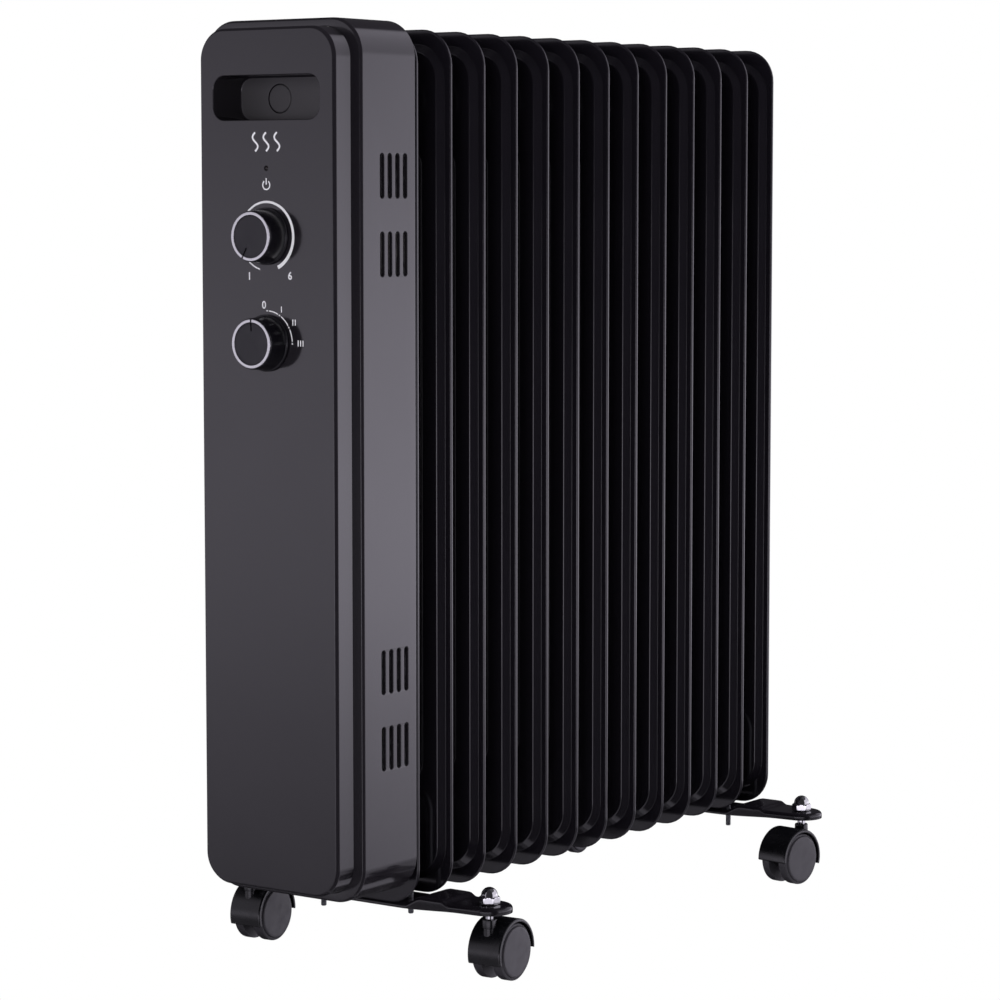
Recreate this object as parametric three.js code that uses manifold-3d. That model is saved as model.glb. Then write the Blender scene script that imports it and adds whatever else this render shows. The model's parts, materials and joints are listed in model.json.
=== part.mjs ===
// Oil filled radiator heater on four twin-wheel castors.
// Millimetres, +Z up. X is the width, Y the length: the control box faces -Y.
// The pieces are worked out with Y measured from the first fin, and the finished group is moved
// by MID_LENGTH, so that the origin is on the floor under the middle of the whole heater.

import * as THREE from 'three';
import { mergeVertices } from 'three/addons/utils/BufferGeometryUtils.js';
import Module from 'manifold-3d';

const wasm = await Module();
wasm.setup();

// ---------------------------------------------------------------- driving dimensions

const GAP = 0.3;                    // kept between pieces that touch
const MID_LENGTH = 182.35;          // from the first fin to the middle of the whole length

const FIN = {
  count: 13, pitch: 37.5, width: 120, height: 580, bottom: 50, corner: 24,
  sheet: 2.6, channelDepth: 11.6, margin: 4.5, headerInset: 46,
};
const FIN_TOP = FIN.bottom + FIN.height;
const HEADER_LOW = FIN.bottom + FIN.headerInset;
const HEADER_HIGH = FIN_TOP - FIN.headerInset;
const LAST_FIN = (FIN.count - 1) * FIN.pitch;
const HEADER = { radius: 22, bore: 12, sides: 16, end: 8, cap: 6 };

const FASCIA = {
  width: 112, bottom: 67.3, top: 628, corner: 20, front: -82, back: -60, wall: 2.4, edge: 2.2,
};
const HOUSING = {
  width: 130, bottom: 61.6, top: 633.7, corner: 24, front: -66, back: -9, wall: 2.2, edge: 1.2,
};
const BOX_MIDDLE = (HOUSING.bottom + HOUSING.top) / 2;
const VENT = { width: 4.5, height: 29, pitch: 8.1, first: -44.5, count: 4, rows: [135.4, 185.6] };
const SHIELD = { front: -10.1, back: -8.3, clearance: 0.3 };
const RECESS = { width: 88.4, height: 30, corner: 9, z: 583.3, back: -54, wall: 2 };
const PLUG = { x: -11.2, radius: 9.05 };

const KNOB = { back: -82.5, face: -98.6, baseRadius: 18.4, faceRadius: 16.4, shaft: 3 };
const THERMOSTAT_Z = 494.6;
const SELECTOR_Z = 425.9;
const LAMP_Z = 538.1;
const LOW_MARK = 206;               // degrees clockwise from the top, seen from the front
const OFF_MARK = 0;

const INLET = { x: 28, y: -36, hole: 6.5, bore: 4 };

const BRACKET = {
  y: [20.5, 428.5], halfWidth: 18, tabRadius: 15.5, wall: 1.8,
  saddleTop: 49.6, humpTop: 55.4, tabTop: 53, saddleBottom: 46, tabBottom: 48,
};
const STEM_X = 102.7;
const U_BOLT = { x: 37.5, radius: 2, corner: 16, tip: 38.6, clearance: 0.5 };

const CASTOR = {
  trail: 14.6, tread: 19.3, facets: 16, hoodOuter: 22.4, hoodInner: 20.1, hoodHalf: 12.8,
  webHalf: 4.1, wheelInner: 4.5, wheelOuter: 13, axle: 3, collar: 5.2, collarStep: 36, collarTop: 43,
  stemSideDrop: 6.5, trailSideDrop: 0.5,
};
const STEM = { radius: 2.9, bottom: 29, top: 59.6, bore: 3.2, shoulder: 5.4 };
const CAP_NUT = { flats: 12.5, height: 5.2, dome: 5.6, domeCentre: 59 };

// yaw is the turn of each castor about its stem, counter-clockwise seen from above
const CASTORS = [
  { name: 'front_right', x: STEM_X, bracket: 0, yaw: 3.3 },
  { name: 'front_left', x: -STEM_X, bracket: 0, yaw: 4.2 },
  { name: 'rear_right', x: STEM_X, bracket: 1, yaw: 180 - 7.4 },
  { name: 'rear_left', x: -STEM_X, bracket: 1, yaw: 180 + 3 },
];

// ---------------------------------------------------------------- materials

const finish = (color, roughness, metalness) =>
  new THREE.MeshStandardMaterial({ color, roughness, metalness });

const FINISH = {
  finEnamel: () => finish(0x121114, 0.18, 0),
  boxPlastic: () => finish(0x3b3a3d, 0.25, 0),
  innerPlastic: () => finish(0xd8d2c4, 0.5, 0),
  galvanised: () => finish(0x9b9ea1, 0.4, 1),
  chrome: () => finish(0xcfd1d3, 0.12, 1),
  footEnamel: () => finish(0x141315, 0.22, 0),
  castorNylon: () => finish(0x17171a, 0.4, 0),
  wheelNylon: () => finish(0x4a484d, 0.45, 0),
  knobPlastic: () => finish(0x1b1a1f, 0.3, 0),
  knobRing: () => finish(0xb9bbbd, 0.25, 1),
  rubber: () => finish(0x1a1a1b, 0.8, 0),
  lens: () => finish(0x140c0b, 0.2, 0),
};

// ---------------------------------------------------------------- solids

function toSolid(geometry) {
  const bare = geometry.index ? geometry.toNonIndexed() : geometry;
  bare.deleteAttribute('normal');
  bare.deleteAttribute('uv');
  const merged = mergeVertices(bare, 1e-4);
  const index = merged.index.array;
  const corners = [];
  for (let i = 0; i < index.length; i += 3) {
    const [a, b, c] = index.slice(i, i + 3);
    if (a !== b && b !== c && c !== a) corners.push(a, b, c);
  }
  const vertProperties = new Float32Array(merged.attributes.position.array);
  const build = (list) => new wasm.Manifold(
    new wasm.Mesh({ numProp: 3, vertProperties, triVerts: new Uint32Array(list) }),
  );
  const solid = build(corners);
  if (solid.volume() > 0) return solid;
  return build(corners.map((_, i) => corners[i - (i % 3) + 2 - (i % 3)]));
}

function toGeometry(solid) {
  const { vertProperties, triVerts } = solid.getMesh();
  const geometry = new THREE.BufferGeometry();
  geometry.setAttribute('position', new THREE.BufferAttribute(new Float32Array(vertProperties), 3));
  geometry.setIndex(new THREE.BufferAttribute(new Uint32Array(triVerts), 1));
  geometry.computeVertexNormals();
  return geometry;
}

const join = (first, ...others) => others.reduce((sum, other) => sum.add(other), first);
const cut = (first, ...others) => others.reduce((rest, other) => rest.subtract(other), first);

// An outline in X and Z, given depth along Y.
function alongY(shape, from, to, options = {}) {
  const settings = { depth: to - from, bevelEnabled: false, curveSegments: 2, ...options };
  const geometry = new THREE.ExtrudeGeometry(shape, settings);
  return toSolid(geometry.rotateX(Math.PI / 2).translate(0, to, 0));
}

// An outline in X and Y, given height along Z.
function upZ(shape, from, to, options = {}) {
  const settings = { depth: to - from, bevelEnabled: false, curveSegments: 2, ...options };
  return toSolid(new THREE.ExtrudeGeometry(shape, settings).translate(0, 0, from));
}

// An outline in Y and Z, given width along X.
function alongX(shape, from, to, options = {}) {
  const settings = { depth: to - from, bevelEnabled: false, curveSegments: 2, ...options };
  const turn = new THREE.Matrix4().makeBasis(
    new THREE.Vector3(0, 1, 0), new THREE.Vector3(0, 0, 1), new THREE.Vector3(1, 0, 0),
  );
  return toSolid(new THREE.ExtrudeGeometry(shape, settings).applyMatrix4(turn).translate(from, 0, 0));
}

function box(width, length, height, x, y, z) {
  return toSolid(new THREE.BoxGeometry(width, length, height).translate(x, y, z));
}

function rodY(radius, from, to, x, z, sides = 16) {
  const geometry = new THREE.CylinderGeometry(radius, radius, to - from, sides);
  return toSolid(geometry.translate(x, (from + to) / 2, z));
}

function rodZ(radius, from, to, x = 0, y = 0, sides = 16) {
  const geometry = new THREE.CylinderGeometry(radius, radius, to - from, sides).rotateX(Math.PI / 2);
  return toSolid(geometry.translate(x, y, (from + to) / 2));
}

function rodX(radius, from, to, y, z, sides = 12) {
  const geometry = new THREE.CylinderGeometry(radius, radius, to - from, sides).rotateZ(Math.PI / 2);
  return toSolid(geometry.translate((from + to) / 2, y, z));
}

// A closed profile of [radius, distance along the axis] turned about the local Y axis.
function turned(profile, sides) {
  const points = [...profile, profile[0]].map(([r, along]) => new THREE.Vector2(r, along));
  return new THREE.LatheGeometry(points, sides);
}

function roundedRect(width, height, radius, x = 0, y = 0, Outline = THREE.Shape) {
  const [left, right] = [x - width / 2, x + width / 2];
  const [bottom, top] = [y - height / 2, y + height / 2];
  const outline = new Outline();
  outline.moveTo(left + radius, bottom);
  outline.lineTo(right - radius, bottom);
  outline.absarc(right - radius, bottom + radius, radius, -Math.PI / 2, 0);
  outline.lineTo(right, top - radius);
  outline.absarc(right - radius, top - radius, radius, 0, Math.PI / 2);
  outline.lineTo(left + radius, top);
  outline.absarc(left + radius, top - radius, radius, Math.PI / 2, Math.PI);
  outline.lineTo(left, bottom + radius);
  outline.absarc(left + radius, bottom + radius, radius, Math.PI, Math.PI * 1.5);
  return outline;
}

function chamferedRect(width, height, chamfer, x, y) {
  const [w, h] = [width / 2, height / 2];
  const corners = [
    [w - chamfer, -h], [w, chamfer - h], [w, h - chamfer], [w - chamfer, h],
    [chamfer - w, h], [-w, h - chamfer], [-w, chamfer - h], [chamfer - w, -h],
  ];
  return new THREE.Path(corners.map(([dx, dy]) => new THREE.Vector2(x + dx, y + dy)));
}

// ---------------------------------------------------------------- fin pack

const finMiddle = (FIN.bottom + FIN_TOP) / 2;

// Raised oil channels: one at each edge and one up the middle, joined round both headers.
function channelOutline() {
  const { width, height, corner, margin } = FIN;
  const outline = roundedRect(width - 2 * margin, height - 2 * margin - 10, corner, 0, finMiddle);
  const windowHeight = HEADER_HIGH - HEADER_LOW - 64;
  for (const side of [-1, 1]) {
    outline.holes.push(chamferedRect(32, windowHeight, 9, side * 24, finMiddle));
  }
  return outline;
}

// Every fin is a flanged sheet with its channels pressed out, pierced for both headers.
function finSolid(index) {
  const { width, height, corner, sheet, channelDepth } = FIN;
  const plate = alongY(roundedRect(width, height, corner, 0, finMiddle), -sheet / 2, sheet / 2);
  const channels = alongY(channelOutline(), -sheet / 2, sheet / 2, {
    curveSegments: 1, bevelEnabled: true, bevelSegments: 1,
    bevelThickness: (channelDepth - sheet) / 2, bevelSize: 4, bevelOffset: -4,
  });
  const holes = [HEADER_LOW, HEADER_HIGH].map(
    (z) => rodY(HEADER.radius + GAP, -channelDepth, channelDepth, 0, z, HEADER.sides),
  );
  return cut(join(plate, channels), ...holes).translate([0, index * FIN.pitch, 0]);
}

// A tube through all the fins, closed at one end: facing 1 is open at the front, -1 at the rear.
function headerTubeSolid(z, facing) {
  const { radius, bore, sides, end, cap } = HEADER;
  const [front, back] = [-end, LAST_FIN + end];
  const shift = facing * cap;
  const tube = rodY(radius, front, back, 0, z, sides);
  return cut(tube, rodY(bore, front - shift, back - shift, 0, z, 8));
}

// Hexagon-headed plug that closes the upper header at the rear.
function oilPlugSolid() {
  const face = LAST_FIN + HEADER.end + GAP;
  const head = rodY(11.5, face, face + 5, 0, HEADER_HIGH, 6);
  return join(head, rodY(HEADER.bore - 2 * GAP, face - 8, face, 0, HEADER_HIGH, 8));
}

// Hairpin element in the lower header, on a flange that closes it inside the control box.
function heatingElementSolid() {
  const [leg, radius, bendY] = [5.4, 3.2, LAST_FIN - 42];
  const face = -HEADER.end - GAP;
  const bend = new THREE.ArcCurve(0, 0, leg, 0, Math.PI);
  const path = new THREE.CatmullRomCurve3(
    bend.getPoints(8).map((point) => new THREE.Vector3(point.x, bendY + point.y, HEADER_LOW)),
  );
  const section = new THREE.Shape().absarc(0, 0, radius, 0, Math.PI * 2);
  const settings = { steps: 6, curveSegments: 4, bevelEnabled: false, extrudePath: path };
  const hairpin = toSolid(new THREE.ExtrudeGeometry(section, settings));
  const legs = [-leg, leg].map((x) => rodY(radius, face - 1, bendY + 0.5, x, HEADER_LOW, 8));
  const flange = rodY(19, face - 5, face, 0, HEADER_LOW, 12);
  const spigot = rodY(HEADER.bore - 2 * GAP, face - 1, face + 6, 0, HEADER_LOW, 8);
  const terminals = [-leg, leg].flatMap((x) => [
    rodY(3.6, face - 12, face - 4, x, HEADER_LOW, 8),
    box(5, 12, 1.2, x, face - 17, HEADER_LOW),
  ]);
  return join(hairpin, ...legs, flange, spigot, ...terminals);
}

// ---------------------------------------------------------------- control box

function panelOutline(spec, inset = 0) {
  const [width, height] = [spec.width - 2 * inset, spec.top - spec.bottom - 2 * inset];
  return roundedRect(width, height, spec.corner - inset, 0, (spec.bottom + spec.top) / 2);
}

function roundedPanel(spec, from, to) {
  const bevel = { bevelEnabled: true, bevelSegments: 1, bevelThickness: spec.edge, bevelSize: spec.edge };
  const settings = { ...bevel, bevelOffset: -spec.edge, curveSegments: 3 };
  return alongY(panelOutline(spec), from + spec.edge, to - spec.edge, settings);
}

// Cooling slots through both side walls, in rows set out evenly from the middle of the box.
function ventCutters() {
  const cutters = [];
  for (const row of VENT.rows.flatMap((offset) => [-offset, offset])) {
    for (let i = 0; i < VENT.count; i += 1) {
      const y = VENT.first + i * VENT.pitch;
      for (const x of [-HOUSING.width / 2, HOUSING.width / 2]) {
        cutters.push(box(8, VENT.width, VENT.height, x, y, BOX_MIDDLE + row));
      }
    }
  }
  return cutters;
}

function housingSolid() {
  const { front, back, wall } = HOUSING;
  const mouth = { ...FASCIA, width: FASCIA.width + 0.8, top: FASCIA.top + 0.4, bottom: FASCIA.bottom - 0.4 };
  const outer = roundedPanel(HOUSING, front, back);
  const inner = alongY(panelOutline(HOUSING, wall), front + wall, back + 1, { curveSegments: 3 });
  const opening = alongY(panelOutline(mouth), front - 1, front + wall + 1, { curveSegments: 3 });
  const inlet = rodZ(INLET.hole, HOUSING.bottom - 1, HOUSING.bottom + wall + 1, INLET.x, INLET.y);
  return cut(outer, inner, opening, inlet, ...ventCutters());
}

// Front panel: a shallow tray with the grip recess moulded into it.
function fasciaSolid() {
  const { front, back, wall } = FASCIA;
  const tray = cut(
    roundedPanel(FASCIA, front, back + FASCIA.edge + 1),
    alongY(panelOutline(FASCIA, wall), front + wall, back + 5, { curveSegments: 3 }),
    box(200, 20, 700, 0, back + 10, BOX_MIDDLE),
  );
  const { width, height, corner, z, wall: cupWall } = RECESS;
  const cupOutline = roundedRect(width + 2 * cupWall, height + 2 * cupWall, corner + cupWall, 0, z);
  const cup = alongY(cupOutline, front + 1, RECESS.back + cupWall);
  const hollow = alongY(roundedRect(width, height, corner, 0, z), front - 1, RECESS.back);
  return cut(
    join(tray, cup),
    hollow,
    rodY(PLUG.radius + GAP, RECESS.back - 1, RECESS.back + cupWall + 1, PLUG.x, z, 14),
    rodY(4.2, front - 1, front + wall + 1, 0, THERMOSTAT_Z, 12),
    rodY(4.2, front - 1, front + wall + 1, 0, SELECTOR_Z, 12),
    rodY(1.7, front - 1, front + wall + 1, 0, LAMP_Z, 8),
  );
}

// Blanking plug in the back of the recess, flush with it, with a lip behind the wall.
function recessPlugSolid() {
  const behind = RECESS.back + RECESS.wall + GAP;
  const body = rodY(PLUG.radius, RECESS.back, behind + 1.5, PLUG.x, RECESS.z, 14);
  return join(body, rodY(PLUG.radius + 1.8, behind, behind + 1.5, PLUG.x, RECESS.z, 14));
}

function heatShieldSolid() {
  const inset = HOUSING.wall + SHIELD.clearance;
  const plate = alongY(panelOutline(HOUSING, inset), SHIELD.front, SHIELD.back, { curveSegments: 3 });
  return cut(plate, rodY(19.6, SHIELD.front - 1, SHIELD.back + 1, 0, HEADER_LOW, 20));
}

// A switch or thermostat body behind the panel, with a bushing and a bore for its shaft.
function controlBodySolid(width, depth, height, z) {
  const front = FASCIA.front + FASCIA.wall + GAP;
  const body = box(width, depth, height, 0, front + depth / 2, z);
  const tabs = [-6, 6].map((x) => box(5, 8, 0.8, x, front + depth + 3.5, z - height / 4));
  return cut(join(body, ...tabs), rodY(KNOB.shaft + GAP, front - 1, front + 12, 0, z));
}

function shaftSolid(z) {
  const front = KNOB.face + 5;
  const back = FASCIA.front + FASCIA.wall + 11;
  const flat = box(8, 12, 3, 0, front + 5, z + KNOB.shaft + 0.6);
  return cut(rodY(KNOB.shaft, front, back, 0, z, 12), flat);
}

// Slightly tapered knob, stepped at the face for its bright ring, with a pointer groove.
function knobSolid(z, mark) {
  const { back, face, baseRadius, faceRadius } = KNOB;
  const profile = [
    [0, back], [baseRadius, back], [baseRadius, back - 1.2], [faceRadius, face + 2.2],
    [14, face + 1.8], [14, face + 0.4], [0, face + 0.4],
  ];
  const body = toSolid(turned(profile, 24));
  const socket = rodY(KNOB.shaft + GAP, face + 4.7, back + 1, 0, 0, 12);
  const groove = box(1.2, 1.6, 6.5, 0, face + 0.4, 11);
  return cut(body, socket, groove).rotate([0, mark, 0]).translate([0, 0, z]);
}

function knobRingSolid(z, mark) {
  const { face } = KNOB;
  const profile = [[14.2, face], [15.9, face], [15.9, face + 1.5], [14.2, face + 1.5]];
  const slit = box(1.2, 1.4, 4, 0, face + 0.5, 15.4);
  return cut(toSolid(turned(profile, 20)), slit).rotate([0, mark, 0]).translate([0, 0, z]);
}

function pilotLampSolid() {
  const behind = FASCIA.front + FASCIA.wall + GAP;
  return join(
    rodY(1.4, FASCIA.front, behind + 2, 0, LAMP_Z, 8),
    rodY(4, behind, behind + 14, 0, LAMP_Z, 8),
  );
}

// Terminal block with the round thermal cut-out clipped to its top edge.
function terminalBlockSolid() {
  const back = SHIELD.front - GAP;
  const [z, height] = [168, 22];
  const block = box(48, 16, height, 0, back - 8, z);
  const screws = [-16, 0, 16].map((x) => rodY(3, back - 17, back - 9, x, z, 8));
  const cutoutZ = z + height / 2 + 7;
  const blades = [-5, 5].map((x) => box(4.8, 8, 1, x, back - 11.5, cutoutZ));
  return cut(join(block, rodY(8.5, back - 8, back, 0, cutoutZ), ...blades), ...screws);
}

// Rubber bush for the mains lead, gripping the bottom wall of the housing.
function cordInletSolid() {
  const [outside, inside] = [HOUSING.bottom - GAP, HOUSING.bottom + HOUSING.wall + GAP];
  const { x, y, hole, bore } = INLET;
  const bush = join(
    rodZ(9, outside - 1.8, outside, x, y, 12),
    rodZ(hole - GAP, outside - 1, inside + 1, x, y, 12),
    rodZ(8.6, inside, inside + 1.6, x, y, 12),
  );
  return cut(bush, rodZ(bore, outside - 3, inside + 3, x, y, 10));
}

// ---------------------------------------------------------------- feet

// Plan of a bracket: a parallel middle that tapers into a round tab at each end.
function bracketPlan(inset) {
  const [half, tab] = [BRACKET.halfWidth - inset, BRACKET.tabRadius - inset];
  const plan = new THREE.Shape();
  plan.moveTo(-70, -half);
  plan.lineTo(70, -half);
  plan.lineTo(STEM_X, -tab);
  plan.absarc(STEM_X, 0, tab, -Math.PI / 2, Math.PI / 2);
  plan.lineTo(70, half);
  plan.lineTo(-70, half);
  plan.lineTo(-STEM_X, tab);
  plan.absarc(-STEM_X, 0, tab, Math.PI / 2, Math.PI * 1.5);
  return plan;
}

// Side view: a low saddle under the fins, a hump outside them and a step down to the tabs.
function bracketProfile(lower, bottomDrop) {
  const { saddleTop, humpTop, tabTop, saddleBottom, tabBottom } = BRACKET;
  const end = STEM_X + BRACKET.tabRadius + 1;
  const right = [[45, saddleTop], [59, humpTop], [76, humpTop], [80, tabTop], [end, tabTop]];
  const top = [...right.map(([x, z]) => [-x, z]).reverse(), ...right];
  const base = [[end, tabBottom], [90, tabBottom], [40, saddleBottom]];
  const bottom = [...base, ...base.map(([x, z]) => [-x, z]).reverse()];
  const points = [
    ...top.map(([x, z]) => new THREE.Vector2(x, z - lower)),
    ...bottom.map(([x, z]) => new THREE.Vector2(x, z - bottomDrop)),
  ];
  return new THREE.Shape(points);
}

function bracketSolid(y) {
  const reach = BRACKET.halfWidth + 1;
  const shell = (inset, bottomDrop) => alongY(bracketProfile(inset, bottomDrop), -reach, reach)
    .intersect(upZ(bracketPlan(inset), 20, 80));
  const stemHoles = [-STEM_X, STEM_X].map((x) => rodZ(STEM.bore, 40, 60, x, 0, 12));
  const boltHoles = [-U_BOLT.x, U_BOLT.x].map((x) => rodZ(U_BOLT.radius + 0.4, 40, 60, x, 0, 8));
  return cut(shell(0, 0), shell(BRACKET.wall, 8), ...stemHoles, ...boltHoles).translate([0, y, 0]);
}

// U-bolt over the lower header between two fins, flat-crowned.
function uBoltSolid(y) {
  const { x, radius, corner, tip, clearance } = U_BOLT;
  const crown = HEADER_LOW + HEADER.radius + clearance + radius;
  const round = radius * 0.6;
  const arch = (offset) => {
    const [legX, top, bend] = [x + offset, crown + offset, corner + offset];
    return { legX, top, bend };
  };
  const [outer, inner] = [arch(radius), arch(-radius)];
  const outline = new THREE.Shape();
  outline.moveTo(-outer.legX, tip);
  outline.lineTo(-inner.legX, tip);
  outline.lineTo(-inner.legX, inner.top - inner.bend);
  outline.absarc(-inner.legX + inner.bend, inner.top - inner.bend, inner.bend, Math.PI, Math.PI / 2, true);
  outline.lineTo(inner.legX - inner.bend, inner.top);
  outline.absarc(inner.legX - inner.bend, inner.top - inner.bend, inner.bend, Math.PI / 2, 0, true);
  outline.lineTo(inner.legX, tip);
  outline.lineTo(outer.legX, tip);
  outline.lineTo(outer.legX, outer.top - outer.bend);
  outline.absarc(outer.legX - outer.bend, outer.top - outer.bend, outer.bend, 0, Math.PI / 2);
  outline.lineTo(-outer.legX + outer.bend, outer.top);
  outline.absarc(-outer.legX + outer.bend, outer.top - outer.bend, outer.bend, Math.PI / 2, Math.PI);
  outline.closePath();
  const bevel = { bevelEnabled: true, bevelSegments: 1, bevelThickness: round, bevelSize: round };
  const settings = { ...bevel, bevelOffset: -round };
  return alongY(outline, y - radius + round, y + radius - round, settings);
}

function clampNutSolid(x, y) {
  const top = BRACKET.saddleTop - BRACKET.wall - GAP;
  return cut(rodZ(4.6, top - 3.2, top, x, y, 6), rodZ(U_BOLT.radius + 0.5, top - 5, top + 1, x, y, 8));
}

function capNutSolid(x, y) {
  const seat = BRACKET.tabTop + GAP;
  const hexagon = rodZ(CAP_NUT.flats / Math.sqrt(3), seat, seat + CAP_NUT.height, x, y, 6);
  const dome = toSolid(new THREE.SphereGeometry(CAP_NUT.dome, 10, 6).rotateX(Math.PI / 2)
    .translate(x, y, CAP_NUT.domeCentre));
  return cut(join(hexagon, dome), rodZ(STEM.radius + GAP, seat - 1, STEM.top + GAP, x, y, 8));
}

function stemSolid(x, y) {
  const seat = BRACKET.tabTop - BRACKET.wall - GAP;
  const shoulder = rodZ(STEM.shoulder, seat - 2.2, seat, x, y, 8);
  return join(rodZ(STEM.radius, STEM.bottom, STEM.top, x, y, 8), shoulder);
}

// ---------------------------------------------------------------- castors
// Built with the stem axis at x = y = 0 and the wheels trailing towards +Y, then turned by yaw.

const axleHeight = CASTOR.tread;

// Hood over both wheels, its web between them, the swivel collar and the axle in one moulding.
// The collar is narrow below its step, to stay clear of the wheels.
function hoodSolid() {
  const { trail, hoodOuter, hoodInner, hoodHalf, stemSideDrop, trailSideDrop } = CASTOR;
  const start = -Math.asin(trailSideDrop / hoodOuter);
  const end = Math.PI + Math.asin(stemSideDrop / hoodOuter);
  const arch = new THREE.Shape();
  arch.absarc(trail, axleHeight, hoodOuter, start, end);
  arch.absarc(trail, axleHeight, hoodInner, end, start, true);
  arch.closePath();
  const cover = alongX(arch, -hoodHalf, hoodHalf, { curveSegments: 5 });
  const web = new THREE.Shape();
  web.absarc(trail, axleHeight, hoodInner + 1, 0, Math.PI);
  web.absarc(trail, axleHeight, 11, Math.PI, Math.PI * 2);
  web.closePath();
  const middle = alongX(web, -CASTOR.webHalf, CASTOR.webHalf, { curveSegments: 3 });
  const collar = join(
    rodZ(CASTOR.collar, CASTOR.collarStep, CASTOR.collarTop, 0, 0, 10),
    rodZ(CASTOR.webHalf, axleHeight + 10, CASTOR.collarStep + 1, 0, 0, 10),
  );
  const axle = rodX(CASTOR.axle, -11, 11, trail, axleHeight, 10);
  const bore = rodZ(STEM.bore, STEM.bottom - 1, CASTOR.collarTop + 1, 0, 0, 10);
  return cut(join(cover, middle, collar, axle), bore);
}

// Wheel with a bevelled closed cap outside and a blind bore for the axle inside.
function wheelSolid(side) {
  const { tread, facets, wheelInner, wheelOuter, axle, trail } = CASTOR;
  const rim = tread / Math.cos(Math.PI / facets);
  const bore = axle + GAP;
  const profile = [
    [bore, wheelInner], [rim, wheelInner], [rim, wheelOuter - 2],
    [18.4, wheelOuter - 0.8], [17, wheelOuter], [0, wheelOuter], [0, wheelOuter - 1.6],
    [bore, wheelOuter - 1.6],
  ];
  const disc = turned(profile, facets).rotateY(Math.PI / facets).rotateZ(-Math.PI / 2);
  if (side < 0) disc.rotateZ(Math.PI);
  return toSolid(disc.translate(0, trail, axleHeight));
}

// ---------------------------------------------------------------- assembly

const heater = new THREE.Group();
heater.position.y = -MID_LENGTH;

function place(name, solid, material, parent = heater) {
  const mesh = new THREE.Mesh(toGeometry(solid), material());
  mesh.name = name;
  parent.add(mesh);
}

for (let i = 0; i < FIN.count; i += 1) {
  place(`fin_${String(i + 1).padStart(2, '0')}`, finSolid(i), FINISH.finEnamel);
}
place('lower_header', headerTubeSolid(HEADER_LOW, 1), FINISH.finEnamel);
place('upper_header', headerTubeSolid(HEADER_HIGH, -1), FINISH.finEnamel);
place('oil_plug', oilPlugSolid(), FINISH.galvanised);
place('heating_element', heatingElementSolid(), FINISH.galvanised);

place('housing', housingSolid(), FINISH.boxPlastic);
place('fascia', fasciaSolid(), FINISH.boxPlastic);
place('recess_plug', recessPlugSolid(), FINISH.boxPlastic);
place('heat_shield', heatShieldSolid(), FINISH.galvanised);
place('thermostat', controlBodySolid(38, 20, 40, THERMOSTAT_Z), FINISH.innerPlastic);
place('thermostat_shaft', shaftSolid(THERMOSTAT_Z), FINISH.galvanised);
place('thermostat_knob', knobSolid(THERMOSTAT_Z, LOW_MARK), FINISH.knobPlastic);
place('thermostat_knob_ring', knobRingSolid(THERMOSTAT_Z, LOW_MARK), FINISH.knobRing);
place('selector_switch', controlBodySolid(34, 22, 26, SELECTOR_Z), FINISH.innerPlastic);
place('selector_shaft', shaftSolid(SELECTOR_Z), FINISH.galvanised);
place('selector_knob', knobSolid(SELECTOR_Z, OFF_MARK), FINISH.knobPlastic);
place('selector_knob_ring', knobRingSolid(SELECTOR_Z, OFF_MARK), FINISH.knobRing);
place('pilot_lamp', pilotLampSolid(), FINISH.lens);
place('terminal_block', terminalBlockSolid(), FINISH.innerPlastic);
place('cord_inlet', cordInletSolid(), FINISH.rubber);

BRACKET.y.forEach((y, i) => {
  const end = ['front', 'rear'][i];
  place(`${end}_foot_bracket`, bracketSolid(y), FINISH.footEnamel);
  place(`${end}_u_bolt`, uBoltSolid(y), FINISH.galvanised);
  place(`${end}_clamp_nut_right`, clampNutSolid(U_BOLT.x, y), FINISH.galvanised);
  place(`${end}_clamp_nut_left`, clampNutSolid(-U_BOLT.x, y), FINISH.galvanised);
});

for (const { name, x, bracket, yaw } of CASTORS) {
  const y = BRACKET.y[bracket];
  place(`${name}_cap_nut`, capNutSolid(x, y), FINISH.chrome);
  place(`${name}_stem`, stemSolid(x, y), FINISH.chrome);
  const swivel = new THREE.Group();
  swivel.position.set(x, y, 0);
  swivel.rotation.z = THREE.MathUtils.degToRad(yaw);
  heater.add(swivel);
  place(`${name}_hood`, hoodSolid(), FINISH.castorNylon, swivel);
  place(`${name}_wheel_a`, wheelSolid(1), FINISH.wheelNylon, swivel);
  place(`${name}_wheel_b`, wheelSolid(-1), FINISH.wheelNylon, swivel);
}

export default heater;
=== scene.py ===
# Looks of the oil filled radiator heater: pressed fins, moulded box, dials, brackets and castors.
# Lengths are in millimetres until a mesh is finished, which turns them to metres. Shapes of the
# heater are drawn with Y measured from the first fin, as HEATER places them in the frame.

import json
import math

import bmesh
import bpy
from mathutils import Matrix, Vector


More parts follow.
